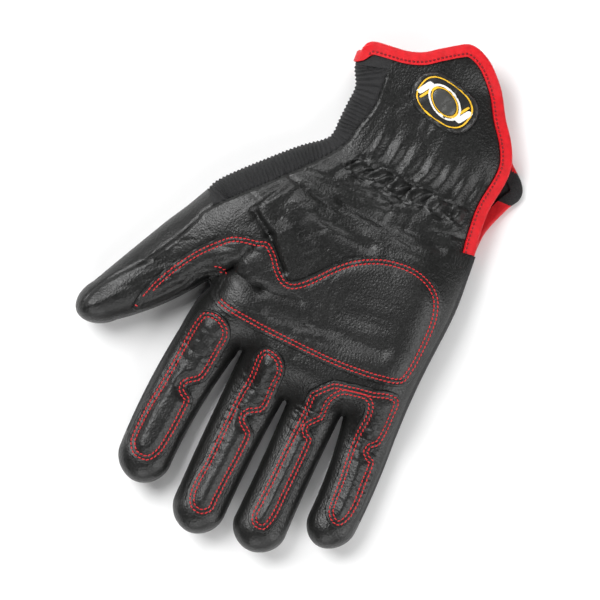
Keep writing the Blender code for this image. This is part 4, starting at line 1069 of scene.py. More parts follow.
def binding(form, faces, edge):
    """Tape folded over the open edge: two legs on the panels and a rounded fold beyond the edge."""
    points, border = shrunk(form.points, form.normals, faces, 0.5 * GAP)
    used = np.unique(faces)
    local = {v: k for k, v in enumerate(used)}
    count = len(used)
    wall = KNIT
    offsets = (GAP + TAPE, GAP, -wall - GAP, -wall - GAP - TAPE)
    layers = [points[used] + form.normals[used] * amount for amount in offsets]
    near = np.array([[local[v] for v in face] for face in faces])
    tris = [near, near[:, ::-1] + count, near + 2 * count, near[:, ::-1] + 3 * count]
    verts = list(np.vstack(layers))
    edge_set = {(a, b) for a, b in zip(edge, edge[1:])} | {(b, a) for a, b in zip(edge, edge[1:])}
    outwards = {}
    for a, b in border:
        if (a, b) in edge_set:
            run = points[b] - points[a]
            way = -np.cross(form.normals[a] + form.normals[b], run)
            way /= np.linalg.norm(way)
            outwards.setdefault(a, []).append(way)
            outwards.setdefault(b, []).append(way)
    folds = {}
    for v, ways in outwards.items():
        way = np.sum(ways, axis=0)
        way /= np.linalg.norm(way)
        middle = points[v] - form.normals[v] * wall / 2
        for key, reach in (("outer", GAP + TAPE), ("inner", GAP)):
            row = [local[v] + (0 if key == "outer" else count)]
            for angle in (45.0, 90.0, 135.0) if key == "outer" else (90.0,):
                turn = math.radians(angle)
                out = way * reach * math.sin(turn)
                up = form.normals[v] * (wall / 2 + reach) * math.cos(turn)
                row.append(len(verts))
                verts.append(middle + out + up)
            row.append(local[v] + (3 * count if key == "outer" else 2 * count))
            folds[v, key] = row
    sides = []
    for a, b in border:
        if (a, b) in edge_set:
            for key in ("outer", "inner"):
                one, two = folds[a, key], folds[b, key]
                for k in range(len(one) - 1):
                    quad = [(one[k], one[k + 1], two[k + 1]), (one[k], two[k + 1], two[k])]
                    sides += quad if key == "outer" else [q[::-1] for q in quad]
        else:
            i, j = local[a], local[b]
            for high, low in ((0, 1), (2, 3)):
                p, q = high * count, low * count
                sides += [(i + p, i + q, j + q), (i + p, j + q, j + p)]
    open_edges = [(a, b) for a, b in border if (a, b) in edge_set]
    ends = [v for v in outwards if sum(v in pair for pair in open_edges) == 1]
    for v in ends:
        outer, inner = folds[v, "outer"], folds[v, "inner"]
        starts = any(a == v for a, _ in open_edges)
        fan = [(outer[0], outer[1], inner[0]), (outer[1], inner[1], inner[0]), (outer[1], outer[2], inner[1])]
        fan += [(outer[2], outer[3], inner[1]), (outer[3], inner[2], inner[1])]
        fan.append((outer[3], outer[4], inner[2]))
        sides += [f[::-1] for f in fan] if starts else fan
    return np.array(verts), np.vstack(tris + [np.array(sides)])


# Stitching: how far inside an overlay's outline each row lies, then a stitch's pitch, length, width and
# slant in degrees, and the thread's shape: shares along it, its thickness there, and its height there.
ROW_INSETS = (0.0017, 0.0035)
PATCH_STITCH = (0.00195, 0.00175, 0.00062, 12.0)
THREAD_SHARES = np.array([-1.0, -0.82, -0.4, 0.0, 0.4, 0.82, 1.0])
THREAD_RADII = np.array([0.30, 0.78, 1.0, 1.0, 1.0, 0.78, 0.30])
THREAD_RISE = np.array([-0.55, -0.20, 0.10, 0.16, 0.10, -0.20, -0.55])
THREAD_SIDES = 6
GROOVE_DEPTH = 0.00030
GROOVE_HALF = 0.00045
PATCH_EDGE = 0.0008
PATCH_EDGE_SHARE = 0.45
PAD_START = 0.0039
PAD_RAMP = 0.0034
PATCH_NAMES = ("palm_patch", "index_patch", "middle_patch", "ring_little_patch")
# How thick the padding under each overlay is.
PADDING = {"palm_patch": 0.0004, "index_patch": 0.0013, "middle_patch": 0.0012, "ring_little_patch": 0.0011}

# Where the palm overlay turns under and has no rows: spans in hand shares across and along, then in the
# thumb's shares along and across.
UNDER_ACROSS = (-0.05, 0.085)
UNDER_ALONG = (0.165, 0.245)
THUMB_UNDER_ALONG = (-0.12, 0.55)
THUMB_UNDER_ACROSS = (0.50, 1.05)

# Seams of the front: how deep and wide the pinched line is, and the leather that stands up beside it.
SEAM_STEP = 0.0010
SEAM_DEPTH = 0.00050
SEAM_HALF = 0.00050
SEAM_WELT = 0.00038
SEAM_WELT_AT = 0.0014
SEAM_WELT_HALF = 0.0008

# Puffs at the wrist: half their length along the hand, their height, the elastic rows beside them, and the
# fan of small folds outside those. PINCH_AT, FAN_AT and FAN_HALF are shares of PUFF_HALF.
PUFF_HALF = 0.0036
PUFF_WANDER = 0.0070
PUFF_HEIGHT = 0.0015
PUFF_FLAT = 0.30
PUFF_ROW_WAVE = 0.005
PUFF_ROW_JITTER = 0.0010
PINCH_AT = 1.05
PINCH_DEPTH = 0.0006
PINCH_HALF = 0.0007
FAN_AT = 2.1
FAN_HALF = 0.9
FAN_HEIGHT = 0.0005

# The knit strip: the first and last row of points beside its edge and their spacing, how far its ribs reach,
# and how far the points go past the seam in hand shares.
KNIT_ROWS = (0.0022, 0.0300, 0.0011)
RIB_REACH = 0.032
KNIT_PAST = 0.03

# The badge's rounded edge and the raised line along it.
BADGE_EDGE = 0.0009
BADGE_LIP_AT = 0.0013
BADGE_LIP_HALF = 0.0004
BADGE_GROOVE = 0.0003
BADGE_EDGE_SHARE = 0.3
# Its design, as shares of its size: each ring's outer and inner size and the core's size. The core's oval is
# flatter than the badge and turned from it. A bar has its distance from the middle as a share, then its
# length
# and height in metres, and both kinds slant alike.
RIM_RING = (0.83, 0.785)
WHITE_RING = (0.58, 0.50)
YELLOW_RING = (0.475, 0.43)
CORE_SIZE = 0.41
CORE_FLATTER = 0.95
CORE_TURN = 16.0
RIM_POINTS = 96
CORE_POINTS = 80
WHITE_BAR = (0.335, 0.0030, 0.0075)
YELLOW_BAR = (0.26, 0.0013, 0.0100)
BAR_SHEAR = 0.35
RING_RAISED = 1.2
CORE_RAISED = 0.7

# The row of stitches in the tape, and the ribbed tab of the back that stands out of the slit without tape.
TAPE_ROW_IN = 0.0015
TAPE_STITCH = (0.0019, 0.0015, 0.0008, 0.0)
TAB_SPAN = (0.1190, 0.1340)
TAB_FROM = 0.0380
TAB_BELOW = 0.0080

# Fold shapes: the zone's share under which nothing is worked out, how far folds wander, the share of the
# smaller folds on them and how much closer those lie, and the height that counts as flat.
FOLD_LEAST = 0.01
FOLD_WANDER = 0.8
SMALL_SHARE = 0.14
SMALL_CLOSER = 2.1
FOLD_FLAT = 0.35
# Zones of fine folds on the front: middle in hand shares (along, across), the direction of the folds from
# +X in degrees, half length and half width of the zone, the space between folds, how long a fold is, and
# their height.
FOLDS = (
    ("under puffs", 0.600, 0.560, 4.0, 0.0420, 0.0130, 0.0042, 0.0180, 0.00080),
    ("heel", 0.510, 0.620, -4.0, 0.0340, 0.0120, 0.0052, 0.0240, 0.00060),
    ("heel diagonal", 0.520, 0.340, -14.0, 0.0260, 0.0150, 0.0040, 0.0300, 0.00110),
    ("thumb root", 0.470, 0.280, 62.0, 0.0150, 0.0200, 0.0046, 0.0180, 0.00060),
    ("web", 0.300, 0.130, 40.0, 0.0120, 0.0120, 0.0034, 0.0120, 0.00060),
    ("palm", 0.230, 0.500, 6.0, 0.0430, 0.0130, 0.0060, 0.0260, 0.00055),
    ("finger roots", 0.060, 0.450, 80.0, 0.0450, 0.0080, 0.0050, 0.0110, 0.00045),
    ("cuff", 0.900, 0.450, 70.0, 0.0300, 0.0160, 0.0056, 0.0160, 0.00035),
    ("above puffs", 0.775, 0.550, 86.0, 0.0400, 0.0100, 0.0060, 0.0150, 0.00050),
)
# The same on the digits, with the direction counted from across the digit.
ROOT_FOLDS = (0.0, 0.0120, 0.0140, 0.0030, 0.0090, 0.00045)
SHORT_ROOT_FOLDS = (0.0, 0.0120, 0.0120, 0.0030, 0.0090, 0.00045)
SIDE_FOLDS = (0.0, 0.0070, 0.0200, 0.0022, 0.0050, 0.00030)
JOINT_FOLDS = (0.0, 0.0090, 0.0060, 0.0020, 0.0070, 0.00045)
# Each row: the digit, then the zone's middle in the digit's shares along and across, then its folds.
DIGIT_FOLDS = (
    ("index", 0.10, 0.0, *ROOT_FOLDS),
    ("index", 0.42, -0.5, *SIDE_FOLDS),
    ("index", 0.36, 0.5, *JOINT_FOLDS),
    ("middle", 0.08, 0.0, *ROOT_FOLDS),
    ("middle", 0.40, -0.5, *SIDE_FOLDS),
    ("middle", 0.25, 0.4, *JOINT_FOLDS),
    ("ring", 0.06, 0.0, *SHORT_ROOT_FOLDS),
    ("ring", 0.40, 0.5, *SIDE_FOLDS),
    ("little", 0.06, 0.0, *SHORT_ROOT_FOLDS),
    ("little", 0.40, 0.5, *SIDE_FOLDS),
    ("thumb", 0.35, 0.2, 70.0, 0.0160, 0.0100, 0.0036, 0.0120, 0.00040),
    ("thumb", 0.00, -0.1, 60.0, 0.0140, 0.0120, 0.0040, 0.0140, 0.00050),
)


def bell(away, half):
    """1 in the middle, and close to 0 from twice the half width."""
    return np.exp(-((away / half) ** 2))


def rounded(away, width):
    """A quarter circle's height as a share, from 0 at an edge to 1 at the width."""
    return np.sqrt(np.clip(1.0 - (1.0 - np.minimum(away / width, 1.0)) ** 2, 0.0, 1.0))


def within(values, span):
    return (values > span[0]) & (values < span[1])


def noise(points, seed):
    """Smooth random heights from -1 to 1, one cell of the lattice to each unit."""
    lattice = np.random.default_rng(seed).uniform(-1.0, 1.0, (128, 128))
    cell = np.floor(points).astype(int)
    share = ease(points - cell)
    x, y = share[:, 0], share[:, 1]
    i, j = cell[:, 0] % 128, cell[:, 1] % 128
    low = lattice[i, j] * (1.0 - x) + lattice[(i + 1) % 128, j] * x
    high = lattice[i, (j + 1) % 128] * (1.0 - x) + lattice[(i + 1) % 128, (j + 1) % 128] * x
    return low * (1.0 - y) + high * y


def fold_field(points, middle, turn, half_length, half_width, space, stretch, height, seed):
    """Long narrow folds with rounded crests and sharp valleys, which fade out at the zone's edge."""
    c, s = math.cos(math.radians(turn)), math.sin(math.radians(turn))
    away = points - middle
    along = away @ np.array([c, s])
    across = away @ np.array([-s, c])
    near = np.exp(-((along / half_length) ** 4) - (across / half_width) ** 4)
    held = near > FOLD_LEAST
    rise = np.zeros(len(points))
    at = np.stack([along[held] / stretch, across[held] / space], axis=1)
    wander = noise(at * (0.7, 0.35) + 17.3, seed + 500)
    at[:, 1] += FOLD_WANDER * wander
    ridges = (1.0 - SMALL_SHARE) * np.abs(noise(at, seed))
    ridges += SMALL_SHARE * np.abs(noise(at * SMALL_CLOSER + 31.0, seed + 1000))
    rise[held] = height * (ridges - FOLD_FLAT) * 2.0 * near[held]
    return rise


def fine_relief(points, from_side):
    """Small folds of the front, its seams and the puffs at the wrist."""
    height = seam_relief(points, from_side)
    for number, (_, along, across, turn, *sizes) in enumerate(FOLDS):
        height += fold_field(points, hand_point(along, across), turn, *sizes, seed=number + 1)
    height += puffs(points)
    for number, (name, along, across, turn, *sizes) in enumerate(DIGIT_FOLDS):
        digit = DIGITS[name]
        base = math.degrees(math.atan2(digit.across[1], digit.across[0]))
        height += fold_field(points, digit.point(along, across), turn + base, *sizes, seed=number + 50)
    return height


def puffs(points):
    """Pillows of leather between the two elastic rows at the wrist, and the pinched rows themselves."""
    start, end, _, _ = GATHER_ROWS[0]
    across = hand_across(points)
    share = (across - GATHER_FROM) / (GATHER_TO - GATHER_FROM)
    window = ease(share / 0.05) * ease((1.0 - share) / 0.05)
    line = start + (end - start) * share + PUFF_ROW_WAVE * np.sin(math.pi * GATHER_PUFFS * share + 1.0)
    away = points[:, 1] - line * PALM_LENGTH + PUFF_ROW_JITTER * noise(points / PUFF_WANDER + 80.0, 8)
    wander = noise(points / PUFF_WANDER + 40.0, 7)
    crest = np.abs(np.cos(math.pi * GATHER_PUFFS * share + 0.7 * wander))
    body = np.clip(1.0 - (away / PUFF_HALF) ** 2, 0.0, 1.0)
    height = PUFF_HEIGHT * body**0.8 * (crest**0.7 - PUFF_FLAT)
    for side in (-1.0, 1.0):
        height -= PINCH_DEPTH * bell(away - side * PINCH_AT * PUFF_HALF, PINCH_HALF)
        fan = bell(away - side * FAN_AT * PUFF_HALF, FAN_HALF * PUFF_HALF)
        height += FAN_HEIGHT * fan * (crest**0.5 - 0.5)
    return height * window


def seam_relief(points, from_side):
    """The pinched line of each seam on the front, with the leather standing up beside it."""
    seam = [THUMB.point(along, across) for along, across in THUMB_SEAM]
    seam += [hand_point(along, across) for along, across in KNIT_SEAM]
    away = distance_to(points, curve_through(seam, SEAM_STEP))
    height = SEAM_WELT * bell(away - SEAM_WELT_AT, SEAM_WELT_HALF) - SEAM_DEPTH * bell(away, SEAM_HALF)
    _, edge, _ = fields(points)
    finger, _, _ = blends(points)
    past = from_side - edge * (1.0 - math.cos(math.radians(RIM_TURNS[-1])))
    side = SEAM_WELT * bell(past - SEAM_WELT_AT, SEAM_WELT_HALF) - SEAM_DEPTH * bell(past, SEAM_HALF)
    return height + side * finger


def inward_rows(loop, insets):
    """Rows of points that follow a closed loop on its inside."""
    area = np.sum(loop[:, 0] * np.roll(loop[:, 1], -1) - loop[:, 1] * np.roll(loop[:, 0], -1))
    way = normals_of(loop, closed=True) * np.sign(area)
    rows = []
    for amount in insets:
        moved = loop + way * amount
        rows.append(moved[distance_to(moved, loop, closed=True) > 0.93 * amount])
    return rows


def fine_points(ring):
    """Points that carry the overlays' edges and grooves, the badge's steps and the knit's ribs."""
    loops = patch_loops()
    parts = []
    for name in PATCH_NAMES:
        insets = [0.5 * PATCH_EDGE]
        for row in ROW_INSETS:
            insets += [row - GROOVE_HALF * 1.3, row, row + GROOVE_HALF * 1.3]
        parts += inward_rows(loops[name], insets)
    parts += [knit_points(ring)]
    return np.vstack(parts)


def knit_points(ring):
    """Columns of points along each rib of the knit strip."""
    start, end = SIDE_STARTS["cuff_band"], SIDE_STARTS["thumb_outer"]
    line = resample(SIDE[start : end + 1], KNIT_STEP)
    way = normals_of(line)
    first, last, step = KNIT_ROWS
    rows = [line + way * amount for amount in np.arange(first, last, step * COARSER)]
    points = np.vstack(rows)
    across = hand_across(points)
    limit = np.interp(points[:, 1] / PALM_LENGTH, *zip(*KNIT_SEAM))
    return points[(across < limit + KNIT_PAST) & (THUMB.shares(points)[0] < 0.05)]


def side_run(points):
    """For each point, its place along the thumb-side outline and its distance from it."""
    start, end = SIDE_STARTS["cuff_band"], SIDE_STARTS["thumb_outer"]
    line = SIDE[start : end + 1]
    a, run = line[:-1], np.diff(line, axis=0)
    length = np.linalg.norm(run, axis=1)
    begin = np.concatenate([[0.0], np.cumsum(length)[:-1]])
    place = np.zeros(len(points))
    best = np.zeros(len(points))
    for first in range(0, len(points), CHUNK):
        p = points[first : first + CHUNK, None, :] - a
        share = np.clip((p * run).sum(2) / (length**2), 0.0, 1.0)
        away = p - share[:, :, None] * run
        square = (away * away).sum(2)
        nearest = square.argmin(axis=1)
        row = np.arange(len(nearest))
        place[first : first + CHUNK] = begin[nearest] + share[row, nearest] * length[nearest]
        best[first : first + CHUNK] = np.sqrt(square[row, nearest])
    return place, best


def raise_ribs(form):
    """Ribs of the knit strip, across its length, which end at the leather's seam."""
    strip = form.faces[: form.top.stop][form.regions[: form.top.stop] == "back_panel"]
    points = np.unique(strip)
    plan = form.points[points, :2]
    place, away = side_run(plan)
    others = np.unique(form.faces[: form.top.stop][form.regions[: form.top.stop] != "back_panel"])
    own = ~np.isin(points, others)
    above_thumb = plan[:, 1] > THUMB.point(0.1, -1.0)[1]
    near = (away < RIB_REACH) & above_thumb & (plan[:, 0] < hand_point(0.9, 0.5)[0]) & own
    points, place = points[near], place[near]
    wave = np.cos(2.0 * math.pi * place / RIB_PITCH)
    rise = RIB_HEIGHT * wave * ease((place - TAPE_WIDTH) / RIB_PITCH)
    form.points[points] += form.normals[points] * rise[:, None]


def patch_rise(form, loop, padding):
    """Height of an overlay's top over the form: a rounded cut edge, sewn grooves and the padded middle."""
    away = distance_to(form.points[:, :2], loop, closed=True)
    thick = PATCH_LEATHER * (PATCH_EDGE_SHARE + (1.0 - PATCH_EDGE_SHARE) * rounded(away, PATCH_EDGE))
    rise = GAP + thick + padding * ease((away - PAD_START) / PAD_RAMP)
    for row in ROW_INSETS:
        rise -= GROOVE_DEPTH * bell(away - row, GROOVE_HALF)
    return rise


def new_piece(name, points, faces, look, smooth_angle=40.0):
    """One object of the scene in the frame's place, which rides the root and has its look."""
    mesh = bpy.data.meshes.new(name)
    points = np.asarray(points, np.float32) + SHIFT
    faces = np.asarray(faces, np.int32)
    mesh.vertices.add(len(points))
    mesh.vertices.foreach_set("co", points.astype(np.float32).ravel())
    mesh.loops.add(faces.size)
    mesh.loops.foreach_set("vertex_index", faces.ravel())
    mesh.polygons.add(len(faces))
    mesh.polygons.foreach_set("loop_start", np.arange(0, faces.size, faces.shape[1], dtype=np.int32))
    mesh.polygons.foreach_set("loop_total", np.full(len(faces), faces.shape[1], np.int32))
    mesh.update(calc_edges=True)
    mesh.validate()
    mesh.shade_smooth()
    mesh.set_sharp_from_angle(angle=math.radians(smooth_angle))
    material, slot = look
    mesh.materials.append(material)
    made = bpy.data.objects.new(name, mesh)
    bpy.context.scene.collection.objects.link(made)
    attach(made, "root")
    return made


class Looks:
    """The procedural materials."""

    def __init__(self):
        self.leather = (leather("leather_black", (0.0058, 0.0060, 0.0057), 0.39, 0.0), "leather")
        self.patch = (leather("patch_leather_black", (0.0050, 0.0051, 0.0049), 0.41, 0.3), "patch_leather")
        self.knit = (knit("knit_black"), "knit")
        self.tape = (tape("tape_red"), "binding_tape")
        self.thread = (thread("thread_red", (0.62, 0.018, 0.024)), "thread")
        self.dark_thread = (thread("thread_dark_red", (0.22, 0.004, 0.008)), "thread")
        self.rubber = (rubber("rubber_black", (0.018, 0.018, 0.018)), "badge_rubber")
        self.yellow = (rubber("rubber_yellow", (0.85, 0.50, 0.03)), "badge_yellow")
        self.grey_rubber = (rubber("rubber_grey", (0.055, 0.055, 0.052)), "badge_rubber")
        self.white = (rubber("rubber_white", (0.80, 0.80, 0.78)), "badge_white")


class Nodes:
    """A material's node tree, with short calls for the nodes that the looks share."""

    def __init__(self, name):
        self.material = bpy.data.materials.new(name)
        self.material.use_nodes = True
        self.tree = self.material.node_tree
        self.shader = self.tree.nodes["Principled BSDF"]
        self.place = self.add("ShaderNodeTexCoord").outputs["Object"]

    def add(self, kind, **settings):
        node = self.tree.nodes.new(kind)
        for key, value in settings.items():
            setattr(node, key, value)
        return node

    def link(self, source, target):
        self.tree.links.new(source, target)

    def noise(self, scale, detail=3.0, roughness=0.55, vector=None):
        node = self.add("ShaderNodeTexNoise")
        node.inputs["Scale"].default_value = scale
        node.inputs["Detail"].default_value = detail
        node.inputs["Roughness"].default_value = roughness
        self.link(vector or self.place, node.inputs["Vector"])
        return node.outputs["Fac"]

    def voronoi(self, scale, feature="F1", vector=None):
        node = self.add("ShaderNodeTexVoronoi", feature=feature)
        node.inputs["Scale"].default_value = scale
        self.link(vector or self.place, node.inputs["Vector"])
        return node.outputs["Distance"]

    def wave(self, scale, direction, distortion=0.0, vector=None):
        node = self.add("ShaderNodeTexWave", bands_direction=direction)
        node.inputs["Scale"].default_value = scale
        node.inputs["Distortion"].default_value = distortion
        self.link(vector or self.place, node.inputs["Vector"])
        return node.outputs["Fac"]

    def stretched(self, scale):
        node = self.add("ShaderNodeMapping")
        node.inputs["Scale"].default_value = scale
        self.link(self.place, node.inputs["Vector"])
        return node.outputs["Vector"]

    def spread(self, value, low, high, to_low, to_high):
        node = self.add("ShaderNodeMapRange")
        for key, number in (("From Min", low), ("From Max", high), ("To Min", to_low), ("To Max", to_high)):
            node.inputs[key].default_value = number
        self.link(value, node.inputs["Value"])
        return node.outputs["Result"]

    def colours(self, value, low, high):
        node = self.add("ShaderNodeMix", data_type="RGBA")
        node.inputs["A"].default_value = (*low, 1.0)
        node.inputs["B"].default_value = (*high, 1.0)
        self.link(value, node.inputs["Factor"])
        return node.outputs["Result"]

    def bump(self, height, strength, distance, normal=None):
        node = self.add("ShaderNodeBump")
        node.inputs["Strength"].default_value = strength
        node.inputs["Distance"].default_value = distance
        self.link(height, node.inputs["Height"])
        if normal is not None:
            self.link(normal, node.inputs["Normal"])
        return node.outputs["Normal"]

    def finish(self, colour=None, roughness=None, normal=None, **constants):
        for key, source in (("Base Color", colour), ("Roughness", roughness), ("Normal", normal)):
            if source is not None:
                self.link(source, self.shader.inputs[key])
        for key, value in constants.items():
            self.shader.inputs[key.replace("_", " ")].default_value = value
        return self.material


# A wave texture makes this many bands to each unit of its scale, turned round.
WAVE_SHARE = math.pi / 10.0


def tint(colour, share):
    return tuple(min(1.0, c * share) for c in colour)


def leather(name, colour, roughness, dust):
    n = Nodes(name)
    pebbles = n.voronoi(1150.0, "SMOOTH_F1")
    cracks = n.noise(900.0, 4.0, 0.6)
    soft = n.noise(160.0, 3.0)
    broad = n.noise(38.0, 3.0)
    normal = n.bump(soft, 0.12, 0.0016)
    normal = n.bump(cracks, 0.10, 0.00040, normal)
    normal = n.bump(pebbles, 0.42, 0.00040, normal)
    shade = n.colours(n.spread(broad, 0.35, 0.65, 0.0, 1.0), tint(colour, 0.8), tint(colour, 1.35 + dust))
    rough = n.spread(cracks, 0.3, 0.7, roughness - 0.07, roughness + 0.10)
    return n.finish(shade, rough, normal, Specular_IOR_Level=0.46)


def knit(name):
    n = Nodes(name)
    back_ribs = n.wave(WAVE_SHARE / RIB_PITCH, "Y")
    yarn = n.wave(1500.0, "X", 1.2)
    fuzz = n.noise(2600.0, 2.0, 0.7)
    normal = n.bump(back_ribs, 0.12, 0.0003)
    normal = n.bump(yarn, 0.25, 0.00022, normal)
    normal = n.bump(fuzz, 0.4, 0.00020, normal)
    shade = n.colours(n.spread(fuzz, 0.35, 0.65, 0.0, 1.0), (0.007, 0.007, 0.0075), (0.024, 0.024, 0.025))
    return n.finish(shade, None, normal, Roughness=0.70, Specular_IOR_Level=0.30)


def tape(name):
    n = Nodes(name)
    weave = n.wave(1300.0, "X", 0.4)
    cross = n.wave(1300.0, "Y", 0.4)
    soft = n.noise(300.0, 3.0)
    normal = n.bump(soft, 0.18, 0.0008)
    normal = n.bump(weave, 0.22, 0.00016, normal)
    normal = n.bump(cross, 0.22, 0.00016, normal)
    shade = n.colours(n.spread(soft, 0.3, 0.7, 0.0, 1.0), (0.52, 0.003, 0.008), (0.68, 0.005, 0.012))
    return n.finish(shade, None, normal, Roughness=0.50, Specular_IOR_Level=0.28)


def thread(name, colour):
    n = Nodes(name)
    twist = n.wave(2600.0, "DIAGONAL", 0.5)
    normal = n.bump(twist, 0.4, 0.00015)
    shade = n.colours(twist, tint(colour, 0.75), tint(colour, 1.1))
    return n.finish(shade, None, normal, Roughness=0.6, Specular_IOR_Level=0.4)


def rubber(name, colour):
    n = Nodes(name)
    grain = n.noise(1800.0, 3.0)
    normal = n.bump(grain, 0.15, 0.0002)
    shade = n.colours(n.noise(90.0, 2.0), tint(colour, 0.9), tint(colour, 1.08))
    rough = n.spread(grain, 0.3, 0.7, 0.30, 0.42)
    return n.finish(shade, rough, normal)


def surface_of(points, faces):
    return BVHTree.FromPolygons([Vector(p) for p in points], [tuple(int(i) for i in f) for f in faces])


def dropped(surface, plan):
    """Points of the plan put down on a surface from above, with its normals; False where there is none."""
    places, normals, found = [], [], []
    for x, y in plan:
        hit, normal, _, _ = surface.ray_cast(Vector((x, y, 0.2)), Vector((0.0, 0.0, -1.0)))
        found.append(hit is not None)
        places.append(tuple(hit) if hit else (x, y, 0.0))
        normals.append(tuple(normal) if hit else (0.0, 0.0, 1.0))
    return np.array(places), np.array(normals), np.array(found)


def stitches(surface, line, closed, pitch, length, width, slant, skip=None):
    """Stitches along a line on the plan, laid on the surface with both ends sunk into it."""
    loop = np.vstack([line, line[:1]]) if closed else line
    run = np.concatenate([[0.0], np.cumsum(np.linalg.norm(np.diff(loop, axis=0), axis=1))])
    count = max(2, int(round(run[-1] / pitch)))
    at = (np.arange(count) + 0.5) * run[-1] / count
    reach = 0.3 * pitch
    middle, ahead, behind = (
        np.stack([np.interp(place, run, loop[:, k]) for k in range(2)], axis=1)
        for place in (at, at + reach, at - reach)
    )
    if skip is not None:
        keep = ~skip(middle)
        middle, ahead, behind = middle[keep], ahead[keep], behind[keep]
    places, normals, found = dropped(surface, middle)
    way = ahead - behind
    way /= np.linalg.norm(way, axis=1)[:, None]
    c, s = math.cos(math.radians(slant)), math.sin(math.radians(slant))
    way = np.stack([way[:, 0] * c - way[:, 1] * s, way[:, 0] * s + way[:, 1] * c, np.zeros(len(way))], axis=1)
    way -= normals * (way * normals).sum(1)[:, None]
    way /= np.linalg.norm(way, axis=1)[:, None]
    side = np.cross(normals, way)
    return thread_runs(places[found], way[found], side[found], normals[found], length, width)


def tube_faces(rings, count):
    """Triangles between rings that each have the same count of points."""
    faces = []
    for ring in range(rings - 1):
        for k in range(count):
            one, two = ring * count + k, ring * count + (k + 1) % count
            faces += [(one, two, two + count), (one, two + count, one + count)]
    return faces


def thread_runs(places, way, side, up, length, width):
    """A short bowed piece of thread at each place."""
    sides = THREAD_SIDES
    angle = np.arange(sides) * 2.0 * math.pi / sides
    x = np.repeat(THREAD_SHARES * 0.5 * length, sides)
    radii = THREAD_RADII * 0.5 * width
    y = np.outer(radii, np.cos(angle)).ravel()
    z = (np.outer(radii, np.sin(angle)) + (THREAD_RISE * width)[:, None]).ravel()
    count = len(x)
    points = sum(axis[:, None, :] * amount[:, None] for axis, amount in ((way, x), (side, y), (up, z)))
    points = places[:, None, :] + points
    quads = tube_faces(len(THREAD_SHARES), sides)
    last = count - sides
    for k in range(1, sides - 1):
        quads += [(0, k + 1, k), (last, last + k, last + k + 1)]
    quads = np.array(quads)
    faces = (quads[None] + (np.arange(len(places)) * count)[:, None, None]).reshape(-1, 3)
    return points.reshape(-1, 3), faces


def merged(parts):
    """Several meshes as one."""
    points, faces, start = [], [], 0
    for p, f in parts:
        points.append(p)
        faces.append(f + start)
        start += len(p)
    return np.vstack(points), np.vstack(faces)


def thumb_inner(plan):
    """True where the palm overlay turns under along the thumb's inner side and the notch, and has no rows."""
    along, across = THUMB.shares(plan)
    share = hand_across(plan)
    notch = within(share, UNDER_ACROSS) & within(plan[:, 1] / PALM_LENGTH, UNDER_ALONG)
    return notch | (within(along, THUMB_UNDER_ALONG) & within(across, THUMB_UNDER_ACROSS))


def make_panels(form, looks):
    """The leather and knit walls of the glove."""
    walls = {"back_panel": (KNIT, looks.knit), "palm_panel": (LEATHER, looks.leather)}
    for name in dict.fromkeys(form.regions):
        faces = form.faces[form.regions == name]
        wall, look = walls.get(name, (LEATHER, looks.leather))
        made = new_piece(name + "_look", *skin(form.points, form.normals, faces, 0.0, -wall), look)
        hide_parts(name)


def make_patches(form, held, looks):
    """The overlays with their rows of stitches."""
    top_faces = form.faces[form.top]
    for name in PATCH_NAMES:
        faces = top_faces[held[name]]
        rise = patch_rise(form, form.loops[name], PADDING[name])
        points, faces = skin(form.points, form.normals, faces, rise, 0.2 * GAP)
        made = new_piece(name + "_look", points, faces, looks.patch)
        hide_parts(name)
        surface = surface_of(points, faces)
        rows = []
        skip = thumb_inner if name == "palm_patch" else None
        for line in inward_rows(form.loops[name], ROW_INSETS):
            rows.append(stitches(surface, line, True, *PATCH_STITCH, skip))
        new_piece(name + "_stitches", *merged(rows), looks.thread)


def bar(centre, length, height, turn, shear, count=12):
    """A slanted bar with softly rounded corners."""
    loop = oval(np.zeros(2), length, height, 0.0, count * 4, 5.0)
    loop[:, 0] += shear * loop[:, 1]
    a = math.radians(turn)
    c, s = math.cos(a), math.sin(a)
    return centre + np.stack([loop[:, 0] * c - loop[:, 1] * s, loop[:, 0] * s + loop[:, 1] * c], axis=1)


def raised(surface, loops, rise):
    """A raised shape on a surface. Its rings run from the outside in, and the last one is closed over."""
    parts = []
    for loop, height in loops:
        places, normals, _ = dropped(surface, loop)
        parts.append(places + normals * (height * rise))
    return np.vstack(parts), np.array(tube_faces(len(parts), len(parts[0])))


def ring_shape(surface, make, outer, inner, rise):
    """A raised ring with soft edges between two sizes of the same outline."""
    soft = 0.12 * (outer - inner)
    sizes = [(outer, -1.0), (outer, 0.6), (outer - soft, 1.0)]
    sizes += [(inner + soft, 1.0), (inner, 0.6), (inner, -1.0)]
    return raised(surface, [(make(size), height) for size, height in sizes], rise)


def solid_shape(surface, loop, rise):
    """A raised filled shape with a soft edge."""
    centre = loop.mean(axis=0)
    sizes = ((1.0, -1.0), (1.0, 0.6), (0.94, 1.0), (0.6, 1.0), (0.25, 1.0), (0.001, 1.0))
    return raised(surface, [(centre + (loop - centre) * size, height) for size, height in sizes], rise)


